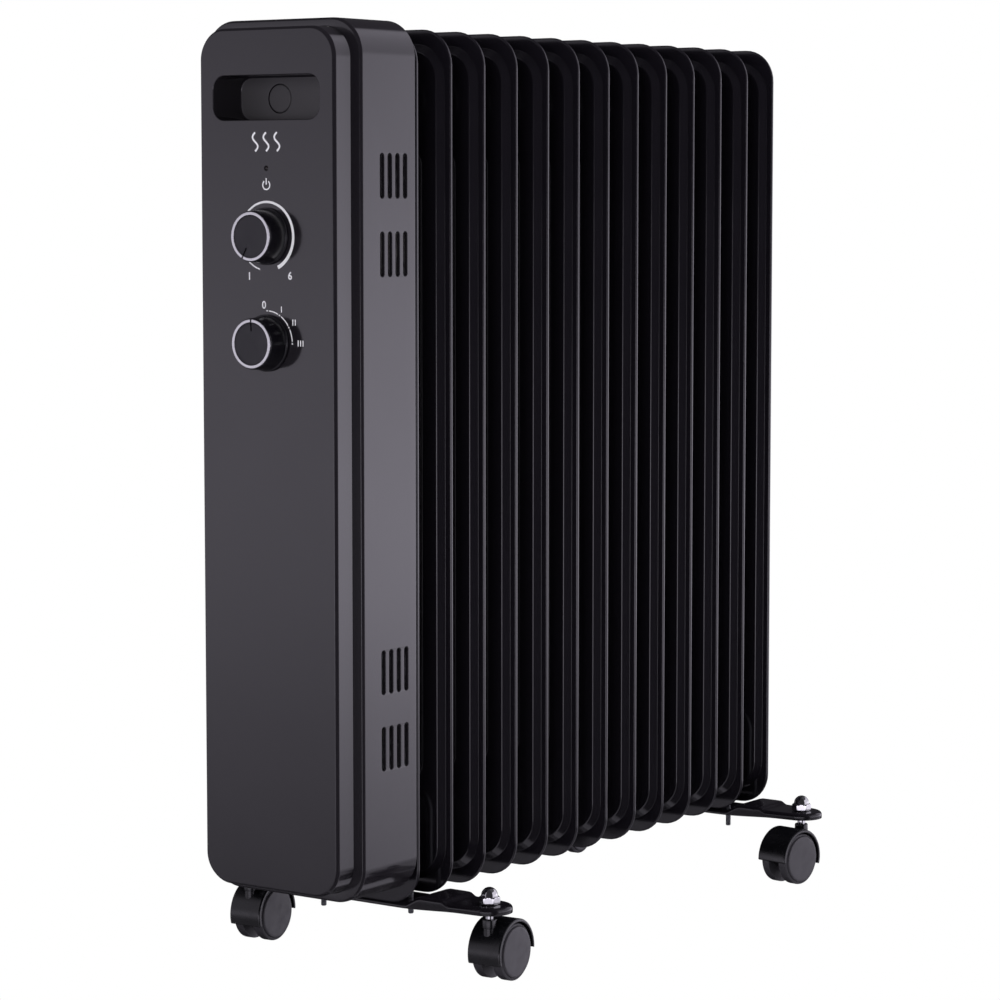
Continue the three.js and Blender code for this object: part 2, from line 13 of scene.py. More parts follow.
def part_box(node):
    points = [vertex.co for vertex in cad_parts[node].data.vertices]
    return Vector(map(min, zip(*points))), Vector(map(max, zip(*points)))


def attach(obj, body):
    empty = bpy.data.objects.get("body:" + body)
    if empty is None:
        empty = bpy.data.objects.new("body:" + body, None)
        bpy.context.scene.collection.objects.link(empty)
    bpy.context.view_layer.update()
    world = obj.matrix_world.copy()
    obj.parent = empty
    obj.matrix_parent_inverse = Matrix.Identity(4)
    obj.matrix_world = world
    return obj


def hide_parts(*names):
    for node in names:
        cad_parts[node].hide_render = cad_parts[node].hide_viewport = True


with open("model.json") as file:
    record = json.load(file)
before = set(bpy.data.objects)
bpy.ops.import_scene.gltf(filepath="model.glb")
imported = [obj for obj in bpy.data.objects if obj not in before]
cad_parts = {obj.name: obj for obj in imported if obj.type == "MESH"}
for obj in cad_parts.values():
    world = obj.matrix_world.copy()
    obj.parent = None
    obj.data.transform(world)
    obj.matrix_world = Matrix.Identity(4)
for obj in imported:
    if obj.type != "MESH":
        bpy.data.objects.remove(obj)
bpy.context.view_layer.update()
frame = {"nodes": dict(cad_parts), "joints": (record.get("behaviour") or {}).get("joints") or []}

MM = 0.001
HEATER = Matrix.Translation((0, sum(corner.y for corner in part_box("fin_01")) / 2, 0))


# ---------------------------------------------------------------- camera

camera = bpy.data.objects.new("camera", bpy.data.cameras.new("camera"))
bpy.context.scene.collection.objects.link(camera)
bpy.context.scene.camera = camera
camera.location = (1.36135, -1.91531, 0.52432)
camera.rotation_euler = (math.radians(90 - 5.3551), 0, math.radians(35.486))
camera.data.lens = 119.127
camera.data.sensor_width = 36
camera.data.clip_end = 100


# ---------------------------------------------------------------- materials

def hex_colour(code):
    """An sRGB hex colour as linear red, green, blue and alpha."""
    parts = [int(code[i:i + 2], 16) / 255 for i in (1, 3, 5)]
    linear = [c / 12.92 if c <= 0.04045 else ((c + 0.055) / 1.055) ** 2.4 for c in parts]
    return (*linear, 1.0)


def add_node(tree, kind, values=None, links=None, **settings):
    """A node with its attributes, its sockets' values and its incoming links."""
    made = tree.nodes.new(kind)
    for name, value in settings.items():
        setattr(made, name, value)
    for socket, value in (values or {}).items():
        made.inputs[socket].default_value = value
    for socket, source in (links or {}).items():
        tree.links.new(source, made.inputs[socket])
    return made


def coating(name, colours, roughness, cloud, grain, lift, wave=60.0, wave_lift=0.0, **constants):
    """A surface whose colour and roughness drift over clouds, with fine grain on long waves.

    colours and roughness are (least, most). cloud, grain and wave are sizes, and lift and
    wave_lift are heights, all in millimetres. constants go straight on the shader's sockets.
    """
    material = bpy.data.materials.new(name)
    material.use_nodes = True
    tree = material.node_tree
    shader = tree.nodes["Principled BSDF"]
    for socket, value in constants.items():
        shader.inputs[socket.replace("_", " ")].default_value = value
    place = add_node(tree, "ShaderNodeTexCoord").outputs["Object"]
    drift = add_node(tree, "ShaderNodeTexNoise", {"Scale": 1 / (cloud * MM), "Detail": 3.0},
                     {"Vector": place})
    mixed = add_node(tree, "ShaderNodeMix", {"A": hex_colour(colours[0]), "B": hex_colour(colours[1])},
                     {"Factor": drift.outputs["Fac"]}, data_type="RGBA")
    rough = add_node(tree, "ShaderNodeMapRange", {"From Min": 0.3, "From Max": 0.7,
                                                  "To Min": roughness[0], "To Max": roughness[1]},
                     {"Value": drift.outputs["Fac"]})
    fine = add_node(tree, "ShaderNodeTexNoise", {"Scale": 1 / (grain * MM), "Detail": 2.0},
                    {"Vector": place})
    long_wave = add_node(tree, "ShaderNodeTexNoise", {"Scale": 1 / (wave * MM), "Detail": 1.0},
                         {"Vector": place})
    waves = add_node(tree, "ShaderNodeBump", {"Strength": 1.0, "Distance": wave_lift * MM},
                     {"Height": long_wave.outputs["Fac"]})
    bump = add_node(tree, "ShaderNodeBump", {"Strength": 1.0, "Distance": lift * MM},
                    {"Height": fine.outputs["Fac"], "Normal": waves.outputs["Normal"]})
    tree.links.new(mixed.outputs["Result"], shader.inputs["Base Color"])
    tree.links.new(rough.outputs["Result"], shader.inputs["Roughness"])
    tree.links.new(bump.outputs["Normal"], shader.inputs["Normal"])
    return material


# Stoved enamel, sprayed on pressed steel: near black, wet gloss, with a faint orange peel.
FIN_ENAMEL = coating("stoved_black_enamel", ("#131116", "#17151a"), (0.09, 0.14),
                     cloud=40, grain=2.4, lift=0.002, wave=45, wave_lift=0.03, IOR=1.5)

# The same enamel on the thicker foot brackets, which took more of it at their folds.
FOOT_ENAMEL = coating("foot_black_enamel", ("#0d0b0f", "#121014"), (0.12, 0.2),
                      cloud=14, grain=1.6, lift=0.004, wave=18, wave_lift=0.02, IOR=1.5)

# High gloss ABS, injection moulded: reflections are clean and only sink a little over the ribs.
BOX_PLASTIC = coating("gloss_black_abs", ("#19171b", "#1d1b1f"), (0.1, 0.15),
                      cloud=70, grain=3.0, lift=0.001, wave=90, wave_lift=0.03, IOR=1.52)

# The same plastic with a fine spark-eroded texture in the back of the grip recess.
RECESS_SATIN = coating("textured_black_abs", ("#383739", "#3d3b3e"), (0.5, 0.6),
                       cloud=30, grain=0.5, lift=0.006, IOR=1.5)

# Gloss ABS knobs: a shade softer than the panel, from handling.
KNOB_PLASTIC = coating("knob_black_abs", ("#0a090d", "#0d0c11"), (0.22, 0.26),
                       cloud=12, grain=0.6, lift=0.001, IOR=1.5)

# Satin face let into each knob: fine spark-eroded texture that greys the black.
KNOB_FACE = coating("knob_face_satin_abs", ("#131217", "#18171d"), (0.4, 0.5),
                    cloud=5, grain=0.35, lift=0.004, IOR=1.5)

# Vacuum metallised trim on plastic: bright silver with a soft edge to its reflections.
RING_METAL = coating("metallised_trim", ("#b9b9bb", "#cfcfd0"), (0.2, 0.3),
                     cloud=4, grain=0.5, lift=0.002, Metallic=1.0)

# Pad-printed white ink: flat, a little uneven at its edges.
PRINT_INK = coating("printed_white_ink", ("#e4e4e6", "#f4f4f5"), (0.45, 0.6),
                    cloud=1.5, grain=0.3, lift=0.003, IOR=1.45)

# Nickel-chrome plate on cap nuts and stems: mirror bright.
CHROME = coating("bright_chrome_plate", ("#bfc0c1", "#d4d4d4"), (0.05, 0.1),
                 cloud=3, grain=0.5, lift=0.001, Metallic=1.0)

# Zinc plate on bolts and pressed sheet: grey metal with a cloudy, brushed softness.
ZINC = coating("zinc_plated_steel", ("#8f9193", "#b4b6b8"), (0.28, 0.45),
               cloud=5, grain=0.4, lift=0.004, Metallic=1.0)

# Black moulded nylon of the castor hoods: satin with a faint moulded grain.
CASTOR_NYLON = coating("black_castor_nylon", ("#070709", "#0b0b0e"), (0.22, 0.32),
                       cloud=9, grain=0.7, lift=0.004, IOR=1.53)

# Dark grey nylon of the wheels and their caps: spark-eroded, so it spreads light widely.
WHEEL_NYLON = coating("grey_wheel_nylon", ("#232226", "#2c2a2f"), (0.42, 0.55),
                      cloud=7, grain=0.5, lift=0.012, IOR=1.53)

# Cream thermoset of the terminals and switch bodies: matt and slightly mottled.
INNER_PLASTIC = coating("cream_thermoset", ("#cfc8b6", "#ded7c7"), (0.5, 0.65),
                        cloud=5, grain=0.5, lift=0.01, IOR=1.55)

# Black rubber bush at the cord inlet.
RUBBER = coating("black_rubber", ("#101011", "#1a1a1b"), (0.65, 0.8),
                 cloud=4, grain=0.4, lift=0.02, IOR=1.5)

# Dark red polycarbonate lens of the pilot lamp, unlit.
LAMP_LENS = coating("dark_red_polycarbonate", ("#0b0404", "#120606"), (0.1, 0.16),
                    cloud=1, grain=0.3, lift=0.001, IOR=1.58)


# ---------------------------------------------------------------- mesh building

def rounded_outline(width, height, radius, middle=0.0, centre=0.0, steps=10):
    """Points of a rounded rectangle, counter-clockwise from the foot of its lower right corner."""
    points = []
    for across, up, start in ((1, -1, -90), (1, 1, 0), (-1, 1, 90), (-1, -1, 180)):
        corner_x = centre + across * (width / 2 - radius)
        corner_z = middle + up * (height / 2 - radius)
        for i in range(steps + 1):
            angle = math.radians(start + 90 * i / steps)
            points.append((corner_x + radius * math.cos(angle), corner_z + radius * math.sin(angle)))
    return points


def circle_outline(radius, middle=0.0, centre=0.0, count=48):
    turn = 2 * math.pi / count
    return [(centre + radius * math.cos(i * turn), middle + radius * math.sin(i * turn))
            for i in range(count)]


def hexagon_outline(across_flats, reach_cap, count, middle=0.0):
    """Points round a hexagon whose corners are turned off at the distance reach_cap."""
    points = []
    for i in range(count):
        angle = 2 * math.pi * i / count
        off_flat = (angle + math.pi / 6) % (math.pi / 3) - math.pi / 6
        reach = min(across_flats / 2 / math.cos(off_flat), reach_cap)
        points.append((reach * math.cos(angle), middle + reach * math.sin(angle)))
    return points


def at_y(outline, y):
    return [(x, y, z) for x, z in outline]


def at_x(outline, x):
    return [(x, y, z) for y, z in outline]


def at_z(outline, z):
    return [(x, y, z) for x, y in outline]


def fillet(start, end, steps=4, hollow=False):
    """Pairs from start to end along a quarter ellipse that leaves along the first number.

    hollow bends it the other way, so that it leaves along the second number.
    """
    pairs = []
    for i in range(steps + 1):
        angle = math.pi / 2 * i / steps
        first, second = math.sin(angle), 1 - math.cos(angle)
        if hollow:
            first, second = second, first
        pairs.append((start[0] + (end[0] - start[0]) * first, start[1] + (end[1] - start[1]) * second))
    return pairs


class Skin:
    """Rings of points in millimetres, joined into one closed mesh."""

    def __init__(self):
        self.bm = bmesh.new()

    def ring(self, points):
        return [self.bm.verts.new(point) for point in points]

    def bridge(self, first, second, closed=True, skip=()):
        count = len(first)
        for i in range(count if closed else count - 1):
            if i not in skip:
                j = (i + 1) % count
                self.bm.faces.new((first[i], first[j], second[j], second[i]))

    def bands(self, outlines, closed=True, skip=()):
        """Joins a row of rings, each given as its points. Returns the first and last ring."""
        rings = [self.ring(points) for points in outlines]
        for first, second in zip(rings, rings[1:]):
            self.bridge(first, second, closed, skip)
        return rings[0], rings[-1]

    def capped(self, outlines):
        """Joins a row of rings and fills the first and the last."""
        for end in self.bands(outlines):
            self.fill(end)

    def fill(self, *loops):
        """Fills a flat outline, leaving out the loops inside it."""
        edges = []
        for loop in loops:
            for i, vert in enumerate(loop):
                other = loop[(i + 1) % len(loop)]
                edges.append(self.bm.edges.get((vert, other)) or self.bm.edges.new((vert, other)))
        bmesh.ops.triangle_fill(self.bm, use_beauty=True, use_dissolve=False, edges=edges)

    def mesh(self, name, sharp=40.0):
        bmesh.ops.recalc_face_normals(self.bm, faces=self.bm.faces)
        made = bpy.data.meshes.new(name)
        self.bm.to_mesh(made)
        self.bm.free()
        made.transform(Matrix.Scale(MM, 4))
        made.polygons.foreach_set("use_smooth", [True] * len(made.polygons))
        made.set_sharp_from_angle(angle=math.radians(sharp))
        return made


def place(name, mesh, material, where, body, slot, *nodes):
    """Sets a mesh in the frame as a piece that rides on a body and stands for the CAD nodes."""
    piece = bpy.data.objects.new(name, mesh)
    bpy.context.scene.collection.objects.link(piece)
    if not mesh.materials:
        mesh.materials.append(material)
    piece.matrix_world = where
    flats = piece.modifiers.new("even_flats", "WEIGHTED_NORMAL")
    flats.keep_sharp = True
    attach(piece, body)
    if nodes:
        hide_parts(*nodes)
    return piece


def about_y(r, angle, along):
    return (r * math.cos(angle), along, r * math.sin(angle))


def about_z(r, angle, along):
    return (r * math.cos(angle), r * math.sin(angle), along)


def about_x(r, angle, along):
    return (along, r * math.cos(angle), r * math.sin(angle))


def lathe(skin, profile, count=64, point=about_y):
    """Turns a profile of (radius, distance along the axis). A radius of 0 closes the end."""
    turn = 2 * math.pi / count
    previous = None
    for radius, along in profile:
        if radius == 0:
            ring = [skin.bm.verts.new(point(0, 0, along))]
        else:
            ring = skin.ring([point(radius, i * turn, along) for i in range(count)])
        if previous:
            if len(ring) == 1 or len(previous) == 1:
                tip, rim = (ring[0], previous) if len(ring) == 1 else (previous[0], ring)
                for i in range(count):
                    skin.bm.faces.new((rim[i], rim[(i + 1) % count], tip))
            else:
                skin.bridge(previous, ring)
        previous = ring
    return skin


def closed_profile(profile):
    return [*profile, profile[0]]


# ---------------------------------------------------------------- fins

FIN_COUNT = 13
FIN_PITCH = 37.5
FIN_WIDTH, FIN_HEIGHT, FIN_CORNER = 120.0, 580.0, 24.0
FIN_MIDDLE = 340.0
HALF_SHEET = 1.3
HALF_CHANNEL = 5.8
SEAM = 4.5                  # flat welded margin round the channels
FOOT_SEAM = 5.0             # extra flat at the top and bottom
SHOULDER_TILT = 46.0        # slope of the pressed shoulder, in degrees
FOOT_ROUND, CREST_ROUND = 0.4, 1.8
RIM_ROUND = 1.15            # the two sheets are rolled and painted round at the rim
HEADER_LOW, HEADER_HIGH = 96.0, 584.0
HEADER, HEADER_END = 22.0, 8.0
COLLAR, COLLAR_RISE = 26.0, 2.2      # flange drawn up round each header
WINDOW_WIDTH, WINDOW_HEIGHT, WINDOW_CORNER, WINDOW_X = 32.0, 424.0, 12.0, 24.0
TUBE, TUBE_EDGE = HEADER - 0.4, 1.2
BEAD_HEIGHT, BEAD_HALF = 0.35, 1.6   # weld round each header between two fins


def shoulder_profile():
    """Pairs of (distance in, level): a straight pressed slope between a soft foot and a crest."""
    rise, tilt = HALF_CHANNEL - HALF_SHEET, math.radians(SHOULDER_TILT)
    rounds = FOOT_ROUND + CREST_ROUND
    width = (rise - rounds * (1 - math.cos(tilt))) / math.tan(tilt) + rounds * math.sin(tilt)
    tilts = [tilt * i / 4 for i in range(5)]
    foot = [(FOOT_ROUND * math.sin(t), FOOT_ROUND * (1 - math.cos(t))) for t in tilts]
    crest = [(width - CREST_ROUND * math.sin(t), rise - CREST_ROUND * (1 - math.cos(t)))
             for t in reversed(tilts)]
    return [(inset, HALF_SHEET + level) for inset, level in foot + crest]


def fin_side(skin, facing):
    """One pressed sheet, facing -1 or 1. Returns its outer ring and its two header holes."""
    rings = []
    rim_round = fillet((HALF_SHEET - RIM_ROUND, 0), (HALF_SHEET, RIM_ROUND), 5)
    for level, inset in rim_round:
        outline = rounded_outline(FIN_WIDTH - 2 * inset, FIN_HEIGHT - 2 * inset, FIN_CORNER - inset,
                                  FIN_MIDDLE)
        rings.append(at_y(outline, facing * level))
    channel_width, channel_height = FIN_WIDTH - 2 * SEAM, FIN_HEIGHT - 2 * SEAM - 2 * FOOT_SEAM
    slope = shoulder_profile()
    for inset, level in slope:
        outline = rounded_outline(channel_width - 2 * inset, channel_height - 2 * inset,
                                  FIN_CORNER - inset, FIN_MIDDLE)
        rings.append(at_y(outline, facing * level))
    rim, plateau = skin.bands(rings)
    windows = []
    for side in (-1, 1):
        walls = []
        for distance, level in slope:
            inset = slope[-1][0] - distance
            outline = rounded_outline(WINDOW_WIDTH - 2 * inset, WINDOW_HEIGHT - 2 * inset,
                                      WINDOW_CORNER - inset, FIN_MIDDLE, side * WINDOW_X, steps=8)
            walls.append(at_y(outline, facing * level))
        floor, brink = skin.bands(walls)
        skin.fill(floor)
        windows.append(brink)
    feet, mouths = [], []
    for z in (HEADER_LOW, HEADER_HIGH):
        top = HALF_CHANNEL + COLLAR_RISE
        profile = [*fillet((COLLAR, HALF_CHANNEL), (HEADER + 1.3, top), 5), (HEADER + 0.3, top)]
        foot, mouth = skin.bands([at_y(circle_outline(r, z), facing * y) for r, y in profile])
        feet.append(foot)
        mouths.append(mouth)
    skin.fill(plateau, *windows, *feet)
    return rim, mouths


def fins():
    """Every fin is the same pressing, so all share one mesh."""
    skin = Skin()
    front_rim, front_mouths = fin_side(skin, -1)
    back_rim, back_mouths = fin_side(skin, 1)
    skin.bridge(front_rim, back_rim)
    for front, back in zip(front_mouths, back_mouths):
        skin.bridge(front, back)
    mesh = skin.mesh("pressed_fin")
    for number in range(1, FIN_COUNT + 1):
        where = HEATER @ Matrix.Translation((0, (number - 1) * FIN_PITCH * MM, 0))
        place(f"pressed_fin_{number:02d}", mesh, FIN_ENAMEL, where, "root", "fin_enamel",
              f"fin_{number:02d}")


def headers():
    """Two tubes through the fins, with a weld bead round them in the middle of each gap."""
    front, back = -HEADER_END, (FIN_COUNT - 1) * FIN_PITCH + HEADER_END
    neck = TUBE - TUBE_EDGE
    profile = [(0, front), *fillet((neck, front), (TUBE, front + TUBE_EDGE))]
    for gap in range(FIN_COUNT - 1):
        middle = (gap + 0.5) * FIN_PITCH
        profile += [(TUBE + BEAD_HEIGHT * (1 + math.cos(t)) / 2, middle + BEAD_HALF * t / math.pi)
                    for t in (math.pi * (i - 4) / 4 for i in range(9))]
    profile += [*reversed(fillet((neck, back), (TUBE, back - TUBE_EDGE))), (0, back)]
    mesh = lathe(Skin(), profile, 48).mesh("header_tube")
    for name, z in (("lower_header", HEADER_LOW), ("upper_header", HEADER_HIGH)):
        place(f"{name}_tube", mesh, FIN_ENAMEL, HEATER @ Matrix.Translation((0, 0, z * MM)), "root",
              "fin_enamel", name)


# ---------------------------------------------------------------- control box

BOX_MIDDLE = 347.65
HOUSING_WIDTH, HOUSING_HEIGHT, HOUSING_CORNER = 130.0, 572.1, 24.0
HOUSING_FRONT, HOUSING_BACK, HOUSING_WALL = -66.0, -9.0, 2.2
FASCIA_WIDTH, FASCIA_HEIGHT, FASCIA_CORNER = 112.0, 560.7, 20.0
FASCIA_FRONT, FASCIA_BACK, FASCIA_WALL = -82.0, -60.0, 2.4
HOUSING_BEVEL, FASCIA_BEVEL = (1.3, 1.8), (1.6, 2.2)     # across the face, and deep
MOUTH_GAP = 0.05
CORNER_STEPS = 14
VENT_WIDTH, VENT_HEIGHT, VENT_PITCH, VENT_FIRST = 4.5, 29.0, 8.1, -44.5
VENT_ROWS = (-185.6, -135.4, 135.4, 185.6)
RECESS_WIDTH, RECESS_HEIGHT, RECESS_CORNER = 88.0, 28.6, 9.0
RECESS_Z, RECESS_BACK, RECESS_WALL = 583.3, -54.0, 2.0
PLUG_X, PLUG_RADIUS, PLUG_GAP, PLUG_LIP = -11.2, 9.05, 0.3, 1.8
THERMOSTAT_Z, SELECTOR_Z, LAMP_Z = 494.6, 425.9, 538.1
SHAFT_HOLE, LAMP_HOLE = 4.2, 1.7


def box_ring(width, height, corner, inset, y):
    outline = rounded_outline(width - 2 * inset, height - 2 * inset, corner - inset, BOX_MIDDLE,
                              steps=CORNER_STEPS)
    return at_y(outline, y)


def bevelled_edge(front, bevel):
    """Pairs of (inset, y) over a front edge: a steep flat bevel with a tight round at each end.

    bevel is its two legs, across the face and deep. The small steps are those of the rounds.
    """
    across, deep = bevel
    tight = 0.3
    return [(across + tight, front), (across + 0.1, front + 0.04), (across - 0.1, front + 0.24),
            (0.16, front + deep - 0.2), (0.04, front + deep), (0, front + deep + tight)]


def vent_slots(skin, side, outer, inner):
    """Slots through one side wall, with rounded lips. outer and inner are the wall's two faces."""
    outside, inside = [], []
    for row in VENT_ROWS:
        for i in range(4):
            y = VENT_FIRST + i * VENT_PITCH
            rings = []
            for grown, depth in ((0.35, 0), (0.17, 0.05), (0.05, 0.17), (0, 0.35), (0, HOUSING_WALL)):
                outline = rounded_outline(VENT_WIDTH + 2 * grown, VENT_HEIGHT + 2 * grown,
                                          VENT_WIDTH / 2 - 0.02 + grown, BOX_MIDDLE + row, y, steps=6)
                rings.append(at_x(outline, side * (outer - depth)))
            lip, end = skin.bands(rings)
            outside.append(lip)
            inside.append(end)
    return outside, inside


def housing():
    """Deep tray with its flange turned in round the fascia, open at the back."""
    skin = Skin()
    spec = (HOUSING_WIDTH, HOUSING_HEIGHT, HOUSING_CORNER)
    mouth = (FASCIA_WIDTH + 2 * MOUTH_GAP, FASCIA_HEIGHT + 2 * MOUTH_GAP, FASCIA_CORNER)
    inner_front = HOUSING_FRONT + HOUSING_WALL
    front = [box_ring(*mouth, inset, y)
             for inset, y in ((0, inner_front), (0, HOUSING_FRONT + 0.5), (-0.15, HOUSING_FRONT + 0.15),
                              (-0.5, HOUSING_FRONT))]
    front += [box_ring(*spec, inset, y) for inset, y in bevelled_edge(HOUSING_FRONT, HOUSING_BEVEL)]
    mouth_ring, side_front = skin.bands(front)
    back = [box_ring(*spec, inset, y)
            for inset, y in ((0, HOUSING_BACK - 0.8), (0.24, HOUSING_BACK - 0.24), (0.8, HOUSING_BACK),
                             (HOUSING_WALL, HOUSING_BACK))]
    side_back, lip = skin.bands(back)
    inner = skin.ring(box_ring(*spec, HOUSING_WALL, inner_front))
    skin.bridge(inner, mouth_ring)
    walls = {1: (CORNER_STEPS, CORNER_STEPS + 1), -1: (3 * CORNER_STEPS + 2, 3 * CORNER_STEPS + 3)}
    flats = [first for first, _ in walls.values()]
    skin.bridge(side_front, side_back, skip=flats)
    skin.bridge(lip, inner, skip=flats)
    for side, (low, high) in walls.items():
        outside, inside = vent_slots(skin, side, HOUSING_WIDTH / 2, HOUSING_WIDTH / 2 - HOUSING_WALL)
        skin.fill([side_front[low], side_front[high], side_back[high], side_back[low]], *outside)
        skin.fill([lip[low], lip[high], inner[high], inner[low]], *inside)
    shell = place("housing_shell", skin.mesh("housing_shell"), BOX_PLASTIC, HEATER, "root", "box_plastic",
                  "housing")
    shell.visible_glossy = False    # so that the fascia's edge mirrors the room past the flange


def recess_ring(grown, y):
    outline = rounded_outline(RECESS_WIDTH + 2 * grown, RECESS_HEIGHT + 2 * grown,
                              RECESS_CORNER + grown, RECESS_Z, steps=8)
    return at_y(outline, y)


def fascia():
    """Front tray with rounded edges, the grip recess and the holes for the lamp and the shafts."""
    skin = Skin()
    spec = (FASCIA_WIDTH, FASCIA_HEIGHT, FASCIA_CORNER)
    inner_front = FASCIA_FRONT + FASCIA_WALL
    tray = [box_ring(*spec, inset, y) for inset, y in bevelled_edge(FASCIA_FRONT, FASCIA_BEVEL)]
    tray += [box_ring(*spec, inset, y)
             for inset, y in ((0, FASCIA_BACK), (FASCIA_WALL, FASCIA_BACK), (FASCIA_WALL, inner_front))]
    face, floor = skin.bands(tray)

    cup_back = RECESS_BACK + RECESS_WALL
    lip = [recess_ring(grown, y)
           for grown, y in fillet((0.6, FASCIA_FRONT), (0, FASCIA_FRONT + 0.6), 5)]
    lip += [recess_ring(-inset, y)
            for inset, y in fillet((0, RECESS_BACK - 1.2), (1.2, RECESS_BACK), 4, hollow=True)]
    brink, cup_floor = skin.bands(lip)
    cup_foot, cup_outside = skin.bands([recess_ring(RECESS_WALL, inner_front),
                                        recess_ring(RECESS_WALL, cup_back)])
    plug_hole = [at_y(circle_outline(PLUG_RADIUS + PLUG_GAP + grown, RECESS_Z, PLUG_X), y)
                 for grown, y in ((0.35, RECESS_BACK), (0, RECESS_BACK + 0.35), (0, cup_back))]
    hole_front, hole_back = skin.bands(plug_hole)
    skin.fill(cup_floor, hole_front)
    skin.fill(cup_outside, hole_back)

    fronts, backs = [brink], [cup_foot]
    for radius, z in ((LAMP_HOLE, LAMP_Z), (SHAFT_HOLE, THERMOSTAT_Z), (SHAFT_HOLE, SELECTOR_Z)):
        first, last = skin.bands([at_y(circle_outline(radius, z, count=24), y)
                                  for y in (FASCIA_FRONT, inner_front)])
        fronts.append(first)
        backs.append(last)
    skin.fill(face, *fronts)
    skin.fill(floor, *backs)
    mesh = skin.mesh("fascia_panel")
    place("fascia_panel", mesh, BOX_PLASTIC, HEATER, "root", "box_plastic", "fascia")
    mesh.materials.append(RECESS_SATIN)
    for polygon in mesh.polygons:
        if abs(polygon.center.y - RECESS_BACK * MM) < 0.1 * MM:
            polygon.material_index = 1


def recess_plug():
    """Blanking plug: a disc with a softened edge, and its lip behind the recess."""
    behind = RECESS_BACK + RECESS_WALL + PLUG_GAP
    edge = 0.7
    profile = [(0, RECESS_BACK),
               *fillet((PLUG_RADIUS - edge, RECESS_BACK), (PLUG_RADIUS, RECESS_BACK + edge), 4),
               (PLUG_RADIUS, behind), (PLUG_RADIUS + PLUG_LIP, behind),
               (PLUG_RADIUS + PLUG_LIP, behind + 1.5), (0, behind + 1.5)]
    mesh = lathe(Skin(), profile).mesh("blanking_plug")
    where = HEATER @ Matrix.Translation((PLUG_X * MM, 0, RECESS_Z * MM))
    place("blanking_plug", mesh, RECESS_SATIN, where, "root", "box_plastic", "recess_plug")


def pilot_lamp():
    behind = FASCIA_FRONT + FASCIA_WALL + PLUG_GAP
    profile = [(0, FASCIA_FRONT + 0.1), (0.7, FASCIA_FRONT + 0.2), (1.2, FASCIA_FRONT + 0.5),
               (1.4, FASCIA_FRONT + 1.0), (1.4, behind), (4, behind), (4, behind + 14),
               (0, behind + 14)]
    mesh = lathe(Skin(), profile, 32).mesh("pilot_lens")
    place("pilot_lens", mesh, LAMP_LENS, HEATER @ Matrix.Translation((0, 0, LAMP_Z * MM)), "root",
          "lamp_lens", "pilot_lamp")


# ---------------------------------------------------------------- dials

KNOB_BACK, KNOB_FACE_Y = -82.5, -98.6
LOW_MARK, OFF_MARK = 206.0, 0.0      # pointers at rest, in degrees clockwise from the top
POINTER_HALF = 0.6
LET_IN_RADIUS = 13.5                 # the satin face ends here, inside the bright ring


def knob(name, z, mark, body, *nodes):
    """Tapered knob on a low skirt, with a satin face let in and a pointer groove cut across it."""
    face = KNOB_FACE_Y
    profile = [(0, KNOB_BACK), (18.0, KNOB_BACK), (18.4, KNOB_BACK - 0.3), (18.4, KNOB_BACK - 1.2),
               *fillet((18.0, KNOB_BACK - 1.7), (17.5, KNOB_BACK - 1.9), 3),
               (17.3, KNOB_BACK - 2.4), (16.5, face + 1.9), (16.38, face + 1.0),
               *fillet((16.3, face + 0.7), (15.95, face + 0.4), 3)[1:],
               (15.95, face + 1.6), (13.6, face + 1.6), (13.6, face + 0.25), (13.4, face + 0.1),
               (13.0, face + 0.15), (12.2, face + 0.4), (0, face + 0.45)]
    skin = lathe(Skin(), profile, 96)
    piece_mesh = skin.mesh(f"{name}_body")
    turned = HEATER @ Matrix.Translation((0, 0, z * MM)) @ Matrix.Rotation(math.radians(mark), 4, "Y")
    piece = place(f"{name}_body", piece_mesh, KNOB_PLASTIC, turned, body, "knob_plastic", *nodes)
    piece_mesh.materials.append(KNOB_FACE)
    for polygon in piece_mesh.polygons:
        centre = polygon.center
        if centre.y < (face + 1.0) * MM and math.hypot(centre.x, centre.z) < LET_IN_RADIUS * MM:
            polygon.material_index = 1
    cut_pointer(piece, face)


def cut_pointer(piece, face):
    """Cuts the pointer groove into a knob that points up in its own frame."""
    skin = Skin()
    outline = rounded_outline(2 * POINTER_HALF, 9.0, POINTER_HALF - 0.02, 12.6, steps=4)
    skin.capped([at_y(outline, face - 1.0), at_y(outline, face + 1.3)])
    cutter = bpy.data.objects.new("pointer_cutter", skin.mesh("pointer_cutter"))
    bpy.context.scene.collection.objects.link(cutter)
    cutter.matrix_world = piece.matrix_world
    bpy.context.view_layer.update()
    groove = piece.modifiers.new("pointer_groove", "BOOLEAN")
    groove.operation = "DIFFERENCE"
    groove.solver = "EXACT"
    groove.object = cutter
    piece.modifiers.move(1, 0)
    shown = piece.evaluated_get(bpy.context.evaluated_depsgraph_get())
    piece.data = bpy.data.meshes.new_from_object(shown)
    piece.modifiers.clear()
    bpy.data.objects.remove(cutter)


def knob_ring(name, z, mark, body, node):
    """Bright ring let into the knob's face, open at the pointer."""
    face = KNOB_FACE_Y
    gap = math.degrees(POINTER_HALF / 15.0)
    section = [(13.7, face + 1.5), (13.7, face + 0.3), (13.85, face + 0.05), (14.1, face),
               (15.4, face), (15.7, face + 0.08), (15.88, face + 0.35), (15.88, face + 1.5)]
    skin = Skin()
    rings = []
    count = 120
    for i in range(count + 1):
        angle = math.radians(90 + gap + (360 - 2 * gap) * i / count)
        rings.append([(r * math.cos(angle), y, r * math.sin(angle)) for r, y in section])
    skin.capped(rings)
    where = HEATER @ Matrix.Translation((0, 0, z * MM)) @ Matrix.Rotation(math.radians(mark), 4, "Y")
    place(f"{name}_bright_ring", skin.mesh(name), RING_METAL, where, body, "knob_ring", node)


# ---------------------------------------------------------------- prints on the fascia

